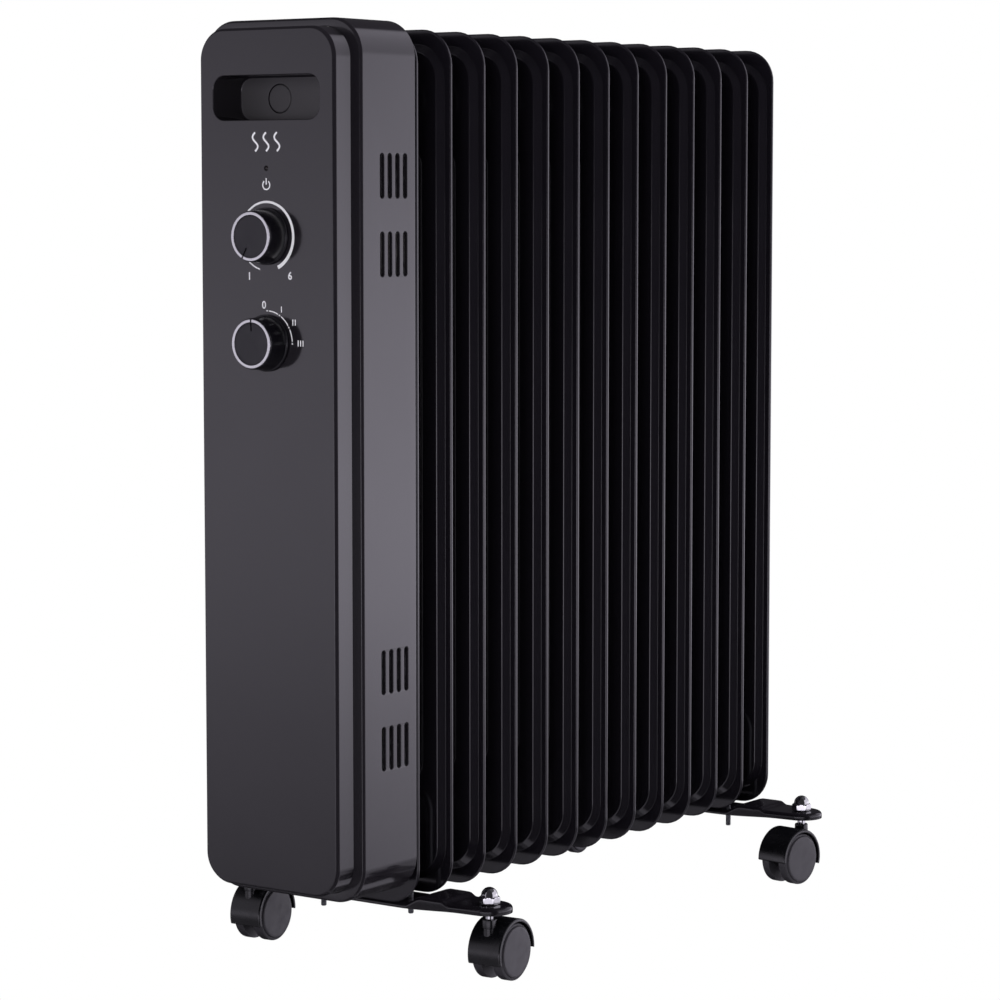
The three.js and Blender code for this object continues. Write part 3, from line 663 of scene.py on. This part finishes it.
PRINT_Y = FASCIA_FRONT - 0.05
PRINT_BACK = FASCIA_FRONT + 0.1
SCALE_RADIUS, STEP_RADIUS, STEP_TURN = 22.0, 20.8, 30
FINE_LINE = 0.75
BAR_HEIGHT, BAR_PITCH = 3.9, 2.0     # the strokes that number the heat steps
NUMERAL_HEIGHT = 5.0
POWER_Z, POWER_RADIUS, POWER_LINE = 527.4, 2.9, 0.9
WAVE_Z, WAVE_HEIGHT, WAVE_SWING, WAVE_LINE = 549.0, 12.0, 2.2, 1.3


def dial_point(radius, angle, z):
    """A point round a dial's centre, angle in degrees clockwise from the top."""
    turn = math.radians(angle)
    return (radius * math.sin(turn), z + radius * math.cos(turn))


def stroke(skin, points, widths):
    """A flat stroke of ink along the points, as wide as widths says at each."""
    rings = []
    for i, (x, z) in enumerate(points):
        before, after = points[max(i - 1, 0)], points[min(i + 1, len(points) - 1)]
        along = Vector((after[0] - before[0], after[1] - before[1])).normalized()
        side = Vector((-along.y, along.x)) * widths[i] / 2
        rings.append([(x + side.x, PRINT_Y, z + side.y), (x - side.x, PRINT_Y, z - side.y),
                      (x - side.x, PRINT_BACK, z - side.y), (x + side.x, PRINT_BACK, z + side.y)])
    skin.capped(rings)


def arc_stroke(skin, radius, start, end, z, width, end_width=None):
    """A stroke round a dial. It widens over its second half if end_width is given."""
    count = max(4, int(abs(end - start) / 4))
    points = [dial_point(radius, start + (end - start) * i / count, z) for i in range(count + 1)]
    last = end_width or width
    widths = [width + (last - width) * (i / count) ** 1.5 for i in range(count + 1)]
    stroke(skin, points, widths)


def dot(skin, x, z, radius):
    outline = circle_outline(radius, z, x, 16)
    skin.capped([at_y(outline, PRINT_Y), at_y(outline, PRINT_BACK)])


def printed(name, skin):
    place(name, skin.mesh(name), PRINT_INK, HEATER, "root", "knob_ring")


def numeral(name, words, x, z):
    """A dial numeral, standing on the panel's face and centred on x and z."""
    letters = bpy.data.curves.new(name, "FONT")
    letters.body = words
    letters.size = NUMERAL_HEIGHT / 0.72 * MM      # a figure is 0.72 of the type size
    letters.align_x = "CENTER"
    letters.align_y = "CENTER"
    letters.extrude = 0.06 * MM
    letters.resolution_u = 6
    letters.offset = 0.12 * MM
    standing = bpy.data.objects.new(name, letters)
    bpy.context.scene.collection.objects.link(standing)
    bpy.context.view_layer.update()
    shown = standing.evaluated_get(bpy.context.evaluated_depsgraph_get())
    mesh = bpy.data.meshes.new_from_object(shown)
    bpy.data.objects.remove(standing)
    where = HEATER @ Matrix.Translation((x * MM, FASCIA_FRONT * MM, z * MM))
    where = where @ Matrix.Rotation(math.pi / 2, 4, "X")
    place(name, mesh, PRINT_INK, where, "root", "knob_ring")


def prints():
    """Scales round the dials, their numerals, a power sign and a plain heat sign."""
    scale = Skin()
    arc_stroke(scale, SCALE_RADIUS, 195, 360 + 155, THERMOSTAT_Z, 0.9, 2.4)
    printed("thermostat_scale", scale)

    steps = Skin()
    for i in range(4):
        mark = STEP_TURN * i
        dot(steps, *dial_point(STEP_RADIUS, mark, SELECTOR_Z), 0.55)
        if i < 3:
            arc_stroke(steps, STEP_RADIUS, mark + 4, mark + STEP_TURN - 4, SELECTOR_Z, FINE_LINE)
    printed("selector_scale", steps)

    for name, words, x, z in (("numeral_one", "1", -14.5, 468.6), ("numeral_six", "6", 19.2, 469.2),
                              ("numeral_zero", "0", -2.5, 450.2)):
        numeral(name, words, x, z)

    for count, name, middle, z in ((1, "step_one", 11.9, 447.8), (2, "step_two", 22.3, 439.6),
                                   (3, "step_three", 27.6, 426.3)):
        bars = Skin()
        for i in range(count):
            x = middle + BAR_PITCH * (i - (count - 1) / 2)
            stroke(bars, [(x, z - BAR_HEIGHT / 2), (x, z + BAR_HEIGHT / 2)], [FINE_LINE] * 2)
        printed(name, bars)

    power = Skin()
    arc_stroke(power, POWER_RADIUS, 35, 325, POWER_Z, POWER_LINE)
    stroke(power, [(0, POWER_Z + 0.2), (0, POWER_Z + 4.4)], [POWER_LINE] * 2)
    printed("power_sign", power)

    waves = Skin()
    for x in (-9.0, 0.0, 9.0):
        points = [(x + WAVE_SWING * math.sin(2 * math.pi * i / 16), WAVE_Z + WAVE_HEIGHT * i / 16)
                  for i in range(17)]
        stroke(waves, points, [WAVE_LINE] * len(points))
    printed("heat_sign", waves)


# ---------------------------------------------------------------- feet

FRONT_FOOT_Y, REAR_FOOT_Y = 20.5, 428.5
BRACKET_HALF, TAB_RADIUS, STEM_X, BRACKET_WALL = 18.0, 15.5, 102.7, 1.8
NARROWING = 70.0                     # from here out the bracket narrows to its round tabs
BRACKET_FOLD = 2.6
BRACKET_TOP = ((0, 49.6), (45, 49.6), (59, 55.4), (75, 55.4), (81, 53.0), (120, 53.0))
BRACKET_BOTTOM = ((0, 46.0), (40, 46.0), (90, 48.0), (120, 48.0))
# Where the plan has a point: close together over the two steps in the bracket's height
BRACKET_STATIONS = (96, 90, 86, 83, 81, 80, 79, 78, 77, 76, 75, 73, 70, 66, 62, 59, 56, 53, 50, 47, 44,
                    36, 24, 12)


def blended(levels, x):
    """Height at x along a row of (distance, height) pairs, eased between them."""
    x = abs(x)
    for (x0, z0), (x1, z1) in zip(levels, levels[1:]):
        if x <= x1:
            t = (x - x0) / (x1 - x0)
            return z0 + (z1 - z0) * t * t * (3 - 2 * t)
    return levels[-1][1]


def bracket_quarter(inset):
    """Plan points from the tip of the right tab back to the middle, on the +Y side."""
    half, tab = BRACKET_HALF - inset, TAB_RADIUS - inset
    points = []
    for i in range(15):
        angle = math.pi / 2 * i / 14
        points.append((STEM_X + tab * math.cos(angle), tab * math.sin(angle)))
    for x in BRACKET_STATIONS:
        run = min(max((x - NARROWING) / (STEM_X - NARROWING), 0), 1)
        points.append((x, half + (tab - half) * run))
    return points


def bracket_plan(inset):
    """Upper side of the plan, from the right tip over to the left tip."""
    right = bracket_quarter(inset)
    return [*right, (0, BRACKET_HALF - inset), *[(-x, y) for x, y in reversed(right)]]


def foot_bracket(name, centre_y, *nodes):
    """Cross member pressed from sheet: a humped channel with a round tab at each end."""
    skin = Skin()
    drops = [(0.0, None)]
    drops += [(inset, drop) for drop, inset in fillet((BRACKET_FOLD, 0), (0, BRACKET_FOLD), 6)]
    drops += [(6.0, 0.0), (11.0, 0.0)]
    rows = []
    for inset, drop in drops:
        upper = []
        for x, y in bracket_plan(inset):
            low = blended(BRACKET_BOTTOM, x)
            z = low if drop is None else blended(BRACKET_TOP, x) - drop
            upper.append((x, y, z))
        lower = [(x, -y, z) for x, y, z in upper[-2:0:-1]]
        rows.append(upper + lower)
    _, inner = skin.bands(rows)
    # The top is closed by strips that run across from one side to the other
    half = len(inner) // 2
    for i in range(half):
        j, k = (-i) % len(inner), (-i - 1) % len(inner)
        corners = [inner[i], inner[i + 1], inner[k]] + ([inner[j]] if j != i else [])
        if k == i + 1:
            corners = [inner[i], inner[i + 1], inner[j]]
        skin.bm.faces.new(corners)
    mesh = skin.mesh(name, sharp=60)
    where = HEATER @ Matrix.Translation((0, centre_y * MM, 0))
    piece = place(name, mesh, FOOT_ENAMEL, where, "root", "foot_enamel", *nodes)
    sheet = piece.modifiers.new("sheet", "SOLIDIFY")
    sheet.thickness = BRACKET_WALL * MM
    sheet.offset = -1
    piece.modifiers.move(1, 0)


U_BOLT_X, U_BOLT_RADIUS, U_BOLT_CORNER = 37.5, 2.0, 16.0
SHORT_LEG, LONG_LEG = 38.6, 34.4         # heights of the tips; each bolt was cut a little uneven
U_BOLT_CROWN = HEADER_LOW + HEADER + 2.5
THREAD_TOP, THREAD_PITCH = 49.0, 0.7


def u_bolt_leg(tip):
    """Stations (x, z, lean, radius) up the right leg and over its bend, threaded at the tip."""
    stations = [(U_BOLT_X, tip, 0, 1.45)]
    turns = int((THREAD_TOP - tip) / (THREAD_PITCH / 2))
    for i in range(1, turns + 1):
        stations.append((U_BOLT_X, tip + i * THREAD_PITCH / 2, 0, U_BOLT_RADIUS - 0.3 * (i % 2)))
    bend_z = U_BOLT_CROWN - U_BOLT_CORNER
    for i in range(13):
        angle = math.pi / 2 * i / 12
        stations.append((U_BOLT_X - U_BOLT_CORNER * (1 - math.cos(angle)),
                         bend_z + U_BOLT_CORNER * math.sin(angle), angle, U_BOLT_RADIUS))
    return stations


def u_bolt(name, centre_y, right_tip, left_tip, node):
    """Bent rod over the header, with a thread on the end of each leg."""
    stations = u_bolt_leg(right_tip)
    stations += [(-x, z, math.pi - lean, r) for x, z, lean, r in reversed(u_bolt_leg(left_tip))]
    skin = Skin()
    rings = []
    for x, z, lean, radius in stations:
        across = Vector((math.cos(lean), 0, math.sin(lean)))
        rings.append([Vector((x, 0, z)) + radius * (across * math.cos(t) + Vector((0, math.sin(t), 0)))
                      for t in (2 * math.pi * i / 20 for i in range(20))])
    skin.capped(rings)
    where = HEATER @ Matrix.Translation((0, centre_y * MM, 0))
    place(name, skin.mesh(name, sharp=80), ZINC, where, "root", "galvanised", node)


NUT_SEAT, NUT_HEIGHT, NUT_FLATS = 53.3, 5.2, 12.5
DOME_RADIUS, DOME_CENTRE = 5.6, 59.0


def cap_nut_mesh():
    """Hexagon with chamfered corners under a dome."""
    skin = Skin()
    count, dome_steps = 96, 13
    corner = NUT_FLATS / math.sqrt(3)
    top = NUT_SEAT + NUT_HEIGHT
    chamfers = [(5.0, NUT_SEAT), (corner - 0.9, NUT_SEAT), (corner - 0.35, NUT_SEAT + 0.25),
                (corner, NUT_SEAT + 0.6), (corner, top - 0.9), (corner - 0.4, top - 0.5),
                (corner - 0.9, top - 0.15), (DOME_RADIUS + 0.3, top)]
    rows = [at_z(hexagon_outline(NUT_FLATS, reach_cap, count), z) for reach_cap, z in chamfers]
    start = math.asin((top - DOME_CENTRE) / DOME_RADIUS)
    for i in range(1, dome_steps):
        tilt = start + (math.pi / 2 - start) * i / dome_steps
        outline = circle_outline(DOME_RADIUS * math.cos(tilt), count=count)
        rows.append(at_z(outline, DOME_CENTRE + DOME_RADIUS * math.sin(tilt)))
    foot, crown = skin.bands(rows)
    skin.fill(foot)
    tip = skin.bm.verts.new((0, 0, DOME_CENTRE + DOME_RADIUS))
    for i in range(count):
        skin.bm.faces.new((crown[i], crown[(i + 1) % count], tip))
    return skin.mesh("chrome_cap_nut", sharp=35)


def stem_mesh():
    """Castor stem: a plain chromed rod with a washer-faced shoulder under the tab."""
    radius, shoulder, seat = 2.9, 5.4, 50.9
    profile = [(0, 29.0), (radius - 0.4, 29.0), (radius, 29.4), (radius, seat - 2.2),
               (shoulder - 0.3, seat - 2.2), (shoulder, seat - 1.9), (shoulder, seat - 0.3),
               (shoulder - 0.3, seat), (radius, seat), (radius, 58.6), (0, 58.6)]
    return lathe(Skin(), profile, 32, about_z).mesh("chrome_stem")


# ---------------------------------------------------------------- castors
# Drawn with the stem's axis at the origin and the wheels trailing towards +Y.

TRAIL, AXLE_Z, TREAD = 14.6, 19.3, 19.3
HOOD_OUTER, HOOD_INNER, HOOD_HALF = 22.4, 20.1, 12.8
HOOD_START, HOOD_END = -1.3, 196.9          # degrees round the axle from the trailing side
WEB_HALF = 4.1
AXLE_HALF, AXLE_RADIUS = 11.0, 3.0


def hood_cover(skin):
    """The curved cover over both wheels, with soft edges and rounded ends."""
    half, soft = HOOD_HALF, 1.3
    outer = [(half - soft + soft * math.sin(a), HOOD_OUTER - soft + soft * math.cos(a))
             for a in (math.pi / 2 * i / 5 for i in range(6))]
    inner = [(half, HOOD_INNER + 0.4), (half - 0.12, HOOD_INNER + 0.12), (half - 0.4, HOOD_INNER)]
    right = [*outer, *inner]
    section = [*[(-x, r) for x, r in reversed(right)], *right]
    middle = (HOOD_OUTER + HOOD_INNER) / 2
    spread = math.degrees(1.1 / middle)
    stations = [(HOOD_START + spread * (1 - math.cos(t)), math.sin(t)) for t in (0.25, 0.6, 1.0, 1.3)]
    stations = [(HOOD_START, 0.3), *stations]
    count = 44
    for i in range(count + 1):
        low, high = HOOD_START + spread, HOOD_END - spread
        stations.append((low + (high - low) * i / count, 1.0))
    stations += [(HOOD_END - spread * (1 - math.cos(t)), math.sin(t)) for t in (1.3, 1.0, 0.6, 0.25)]
    stations.append((HOOD_END, 0.3))
    rings = []
    for degrees, thick in stations:
        angle = math.radians(degrees)
        ring = []
        for x, r in section:
            reach = middle + (r - middle) * thick
            ring.append((x, TRAIL + reach * math.cos(angle), AXLE_Z + reach * math.sin(angle)))
        rings.append(ring)
    first, last = skin.bands(rings)
    skin.bm.faces.new(first)
    skin.bm.faces.new(last)


def hood_web(skin):
    """The web between the wheels, round above the axle and drawn in below it."""
    outline = []
    for i in range(33):
        angle = math.pi * i / 32
        outline.append(((HOOD_INNER + 0.8) * math.cos(angle), (HOOD_INNER + 0.8) * math.sin(angle)))
    for i in range(1, 24):
        angle = math.pi + math.pi * i / 24
        outline.append((11.0 * math.cos(angle) * (1 + 0.4 * abs(math.cos(angle)) ** 6),
                        11.0 * math.sin(angle)))
    rows = []
    for x, inset in ((-WEB_HALF, 0.5), (-WEB_HALF + 0.5, 0), (WEB_HALF - 0.5, 0), (WEB_HALF, 0.5)):
        rows.append([(x, TRAIL + y * (1 - inset / 20), AXLE_Z + z * (1 - inset / 20)) for y, z in outline])
    skin.capped(rows)


def about_axle(r, angle, along):
    return (along, TRAIL + r * math.cos(angle), AXLE_Z + r * math.sin(angle))


def hood_mesh():
    """Cover and web, with the collar that holds the stem and the axle of both wheels."""
    skin = Skin()
    hood_cover(skin)
    hood_web(skin)
    collar = [(0, 30.0), (WEB_HALF, 30.0), (WEB_HALF, 36.9), (4.9, 37.4), (5.0, 39.0), (4.9, 42.5),
              (4.6, 43.0), (3.2, 43.0), (3.2, 41.0), (0, 41.0)]
    lathe(skin, collar, 32, about_z)
    axle = [(0, -AXLE_HALF), (AXLE_RADIUS, -AXLE_HALF), (AXLE_RADIUS, AXLE_HALF), (0, AXLE_HALF)]
    lathe(skin, axle, 24, about_axle)
    return skin.mesh("castor_hood")


def wheel_mesh():
    """Wheel drawn round the local X axis, its cap facing +X."""
    bore = [(0, 11.4), (3.3, 11.4), (3.3, 4.5)]
    tread = [(18.7, 4.5), (19.15, 4.65), (TREAD, 5.1), (TREAD, 10.4), (19.15, 10.95), (18.8, 11.25),
             (18.1, 11.6)]
    groove = [(17.75, 11.62), (17.6, 11.35), (17.4, 11.35)]
    cap = [(17.3, 11.7), (17.15, 12.35), (16.9, 12.7), (16.5, 12.88), (15.5, 12.96), (11.0, 12.99),
           (0, 13.0)]
    return lathe(Skin(), bore + tread + groove + cap, 96, about_x).mesh("castor_wheel", sharp=50)


def castors():
    """Four castors, each placed from its swivel joint and turned to its axle."""
    joints = {joint["name"]: joint for joint in frame["joints"]}
    nut, stem, hood, wheel = cap_nut_mesh(), stem_mesh(), hood_mesh(), wheel_mesh()
    for name in ("front_right", "front_left", "rear_right", "rear_left"):
        stem_x, stem_y, _ = joints[f"{name}_swivel_turn"]["pos_m"]
        axle = joints[f"{name}_wheel_a_roll"]["axis"]
        swivel = f"{name}_swivel"
        upright = Matrix.Translation((stem_x, stem_y, 0))
        turned = upright @ Matrix.Rotation(math.atan2(axle[1], axle[0]), 4, "Z")
        place(f"{name}_domed_nut", nut, CHROME, upright, "root", "chrome", f"{name}_cap_nut")
        place(f"{name}_castor_stem", stem, CHROME, upright, "root", "chrome", f"{name}_stem")
        place(f"{name}_castor_hood", hood, CASTOR_NYLON, turned, swivel, "castor_nylon", f"{name}_hood")
        centre = turned @ Matrix.Translation((0, TRAIL * MM, AXLE_Z * MM))
        for side, flip in (("a", 0), ("b", math.pi)):
            where = centre @ Matrix.Rotation(flip, 4, "Z")
            place(f"{name}_castor_wheel_{side}", wheel, WHEEL_NYLON, where,
                  f"{name}_wheel_{side}_spin", "wheel_nylon", f"{name}_wheel_{side}")


# ---------------------------------------------------------------- small parts and hidden parts

OIL_PLUG_FLATS, PLUG_BARREL = 19.8, 11.2
INLET_X, INLET_Y = 28.0, -36.0


def oil_plug():
    """Hexagon plug in the rear end of the upper header, chamfered all round."""
    skin = Skin()
    count = 72
    face = (FIN_COUNT - 1) * FIN_PITCH + HEADER_END + 0.3
    barrel = circle_outline(PLUG_BARREL, HEADER_HIGH, count=count)
    rows = [at_y(barrel, face - 8), at_y(barrel, face)]
    rows += [at_y(hexagon_outline(OIL_PLUG_FLATS, reach_cap, count, HEADER_HIGH), face + proud)
             for reach_cap, proud in ((11.4, 0.01), (11.4, 3.9), (10.9, 4.5), (10.1, 5))]
    skin.capped(rows)
    place("filler_plug", skin.mesh("filler_plug", sharp=30), ZINC, HEATER, "root", "galvanised",
          "oil_plug")


def cord_inlet():
    """Rubber bush in the bottom of the housing."""
    bottom = BOX_MIDDLE - HOUSING_HEIGHT / 2
    outside, inside = bottom - 0.3, bottom + HOUSING_WALL + 0.3
    profile = [(4, outside - 1.4), (4.5, outside - 1.8), (8.2, outside - 1.8), (8.9, outside - 1.2),
               (9, outside), (6.2, outside), (6.2, inside), (8.6, inside), (8.4, inside + 1.4),
               (7.8, inside + 1.6), (4, inside + 1.6)]
    mesh = lathe(Skin(), closed_profile(profile), 48, about_z).mesh("inlet_bush")
    where = HEATER @ Matrix.Translation((INLET_X * MM, INLET_Y * MM, 0))
    place("inlet_bush", mesh, RUBBER, where, "root", "rubber", "cord_inlet")


def finish_hidden_parts():
    """CAD nodes that keep their own shape get their finish here."""
    finishes = {
        ZINC: ("heating_element", "heat_shield", "thermostat_shaft", "selector_shaft",
               "front_clamp_nut_right", "front_clamp_nut_left", "rear_clamp_nut_right",
               "rear_clamp_nut_left"),
        INNER_PLASTIC: ("thermostat", "selector_switch", "terminal_block"),
    }
    for material, names in finishes.items():
        for name in names:
            slots = frame["nodes"][name].material_slots
            for slot in slots:
                slot.material = material


# ---------------------------------------------------------------- studio

FLOOR_RADIUS = 0.8                   # metres
SKY_TINT = (1.0, 0.95, 1.09)         # the faint violet of the studio lamps
# Light of the panel on the left, how much brighter the right one is, and light of the bare room
PANEL_LIGHT, PANEL_RATIO, ROOM_LIGHT = 1.25, 1.8, 0.04
# How bright the white panels are, by the sine of the height at which they are seen
PANEL_FADE = ((-0.30, 0.2), (-0.22, 0.34), (-0.155, 0.68), (-0.13, 0.93), (-0.09, 1.0), (-0.03, 0.87),
              (0.04, 0.6), (0.15, 0.4), (0.60, 0.42), (0.68, 0.03))
# Heading of each panel, how far from it the panel ends and how far it is full, in degrees
FRONT_LEFT, BACK_RIGHT, LOW_STRIP = (-138, 40, 20), (41, 54, 46), (-74, 30, 24)
SUNK_LOW, SUNK_HIGH, SUNK_LIGHT = -0.12, -0.06, 0.87      # the left panel is duller at its foot
STRIP_TOP, STRIP_FULL, STRIP_LIGHT = -0.005, -0.07, 2.4   # the strip is only seen below eye height


def shown_white(tree, lit):
    """Plain white to the camera, and lit to everything else."""
    plain = add_node(tree, "ShaderNodeEmission", {"Strength": 1.0})
    seen = add_node(tree, "ShaderNodeLightPath").outputs["Is Camera Ray"]
    return add_node(tree, "ShaderNodeMixShader", links={0: seen, 1: lit, 2: plain.outputs[0]}).outputs[0]


def floor():
    """Round table of backlit white vinyl, which hides its own shadows."""
    skin = Skin()
    skin.fill(skin.ring([(x, y, 0) for x, y in circle_outline(FLOOR_RADIUS / MM, count=96)]))
    vinyl = coating("backlit_white_vinyl", ("#d8d8d8", "#dedede"), (0.85, 0.95), cloud=400, grain=5,
                    lift=0.0, Specular_IOR_Level=0.0)
    tree = vinyl.node_tree
    lit = tree.nodes["Principled BSDF"].outputs[0]
    tree.links.new(shown_white(tree, lit), tree.nodes["Material Output"].inputs["Surface"])
    ground = bpy.data.objects.new("floor", skin.mesh("floor"))
    ground.data.materials.append(vinyl)
    ground.location.z = -0.0002
    bpy.context.scene.collection.objects.link(ground)
    ground.visible_glossy = False    # what is glossy mirrors the dark room below the panels instead


def white_panel(tree, level_look, heading, edge, full):
    """How much of a panel is seen, by the turn from its heading in the level plane."""
    turn = math.radians(heading)
    towards = add_node(tree, "ShaderNodeVectorMath", {1: (math.cos(turn), math.sin(turn), 0)},
                       {0: level_look}, operation="DOT_PRODUCT")
    return add_node(tree, "ShaderNodeMapRange", {"From Min": math.cos(math.radians(edge)),
                                                 "From Max": math.cos(math.radians(full))},
                    {"Value": towards.outputs["Value"]}, interpolation_type="SMOOTHSTEP").outputs["Result"]


def studio_sky():
    """A dark room with a white panel ahead on the left, a brighter one behind on the right and a
    low strip in front."""
    world = bpy.data.worlds.new("studio")
    bpy.context.scene.world = world
    world.use_nodes = True
    tree = world.node_tree
    tree.nodes.clear()
    look = add_node(tree, "ShaderNodeTexCoord").outputs["Generated"]
    height = add_node(tree, "ShaderNodeSeparateXYZ", links={"Vector": look}).outputs["Z"]
    low, high = PANEL_FADE[0][0], PANEL_FADE[-1][0]
    level = add_node(tree, "ShaderNodeMapRange", {"From Min": low, "From Max": high}, {"Value": height})
    fade = add_node(tree, "ShaderNodeValToRGB", links={"Fac": level.outputs["Result"]})
    for i, (sine, bright) in enumerate(PANEL_FADE):
        at = (sine - low) / (high - low)
        stops = fade.color_ramp.elements
        stop = stops[0] if i == 0 else stops[-1] if i == len(PANEL_FADE) - 1 else stops.new(at)
        stop.position = at
        stop.color = (bright, bright, bright, 1)
    flat = add_node(tree, "ShaderNodeVectorMath", {1: (1, 1, 0)}, {0: look}, operation="MULTIPLY")
    flat = add_node(tree, "ShaderNodeVectorMath", links={0: flat.outputs[0]}, operation="NORMALIZE")
    front_left = white_panel(tree, flat.outputs[0], *FRONT_LEFT)
    sunk = add_node(tree, "ShaderNodeMapRange",
                    {"From Min": SUNK_LOW, "From Max": SUNK_HIGH, "To Min": SUNK_LIGHT}, {"Value": height})
    front_left = add_node(tree, "ShaderNodeMath", links={0: front_left, 1: sunk.outputs["Result"]},
                          operation="MULTIPLY").outputs[0]
    back_right = white_panel(tree, flat.outputs[0], *BACK_RIGHT)
    strip = white_panel(tree, flat.outputs[0], *LOW_STRIP)
    strip_fade = add_node(tree, "ShaderNodeMapRange",
                          {"From Min": STRIP_TOP, "From Max": STRIP_FULL, "To Max": STRIP_LIGHT},
                          {"Value": height})
    strip = add_node(tree, "ShaderNodeMath", links={0: strip, 1: strip_fade.outputs["Result"]},
                     operation="MULTIPLY").outputs[0]
    panels = add_node(tree, "ShaderNodeMath", {1: PANEL_RATIO}, {0: back_right, 2: front_left},
                      operation="MULTIPLY_ADD")
    panels = add_node(tree, "ShaderNodeMath", links={0: panels.outputs[0], 1: strip}, operation="ADD")
    shown = add_node(tree, "ShaderNodeMath", links={0: panels.outputs[0], 1: fade.outputs["Color"]},
                     operation="MULTIPLY")
    bright = add_node(tree, "ShaderNodeMath", {1: PANEL_LIGHT, 2: ROOM_LIGHT}, {0: shown.outputs[0]},
                      operation="MULTIPLY_ADD")
    lit = add_node(tree, "ShaderNodeBackground", {"Color": (*SKY_TINT, 1)}, {"Strength": bright.outputs[0]})
    add_node(tree, "ShaderNodeOutputWorld", links={"Surface": shown_white(tree, lit.outputs[0])})


def soft_lamp(name, place_at, size, watts):
    """A large soft lamp that lights what is matt and isn't mirrored in what is glossy."""
    lamp = bpy.data.objects.new(name, bpy.data.lights.new(name, "AREA"))
    lamp.data.size = size
    lamp.data.energy = watts
    lamp.location = place_at
    lamp.rotation_euler = (Vector((0, 0, 0.3)) - Vector(place_at)).to_track_quat("-Z", "Y").to_euler()
    lamp.visible_glossy = False
    bpy.context.scene.collection.objects.link(lamp)


bpy.context.scene.view_settings.view_transform = "Standard"
floor()
studio_sky()
soft_lamp("overhead_lamp", (0.9, 1.0, 2.4), size=2.6, watts=100)
soft_lamp("front_lamp", (0.9, -2.4, 0.8), size=1.0, watts=25)
fins()
headers()
housing()
fascia()
recess_plug()
pilot_lamp()
knob("thermostat_knob", THERMOSTAT_Z, LOW_MARK, "thermostat_dial", "thermostat_knob")
knob("selector_knob", SELECTOR_Z, OFF_MARK, "selector_dial", "selector_knob")
knob_ring("thermostat_knob", THERMOSTAT_Z, LOW_MARK, "thermostat_dial", "thermostat_knob_ring")
knob_ring("selector_knob", SELECTOR_Z, OFF_MARK, "selector_dial", "selector_knob_ring")
prints()
for end, centre_y, right_tip, left_tip in (("front", FRONT_FOOT_Y, SHORT_LEG, LONG_LEG),
                                           ("rear", REAR_FOOT_Y, LONG_LEG, SHORT_LEG)):
    foot_bracket(f"{end}_cross_foot", centre_y, f"{end}_foot_bracket")
    u_bolt(f"{end}_header_bolt", centre_y, right_tip, left_tip, f"{end}_u_bolt")
castors()
oil_plug()
cord_inlet()
finish_hidden_parts()
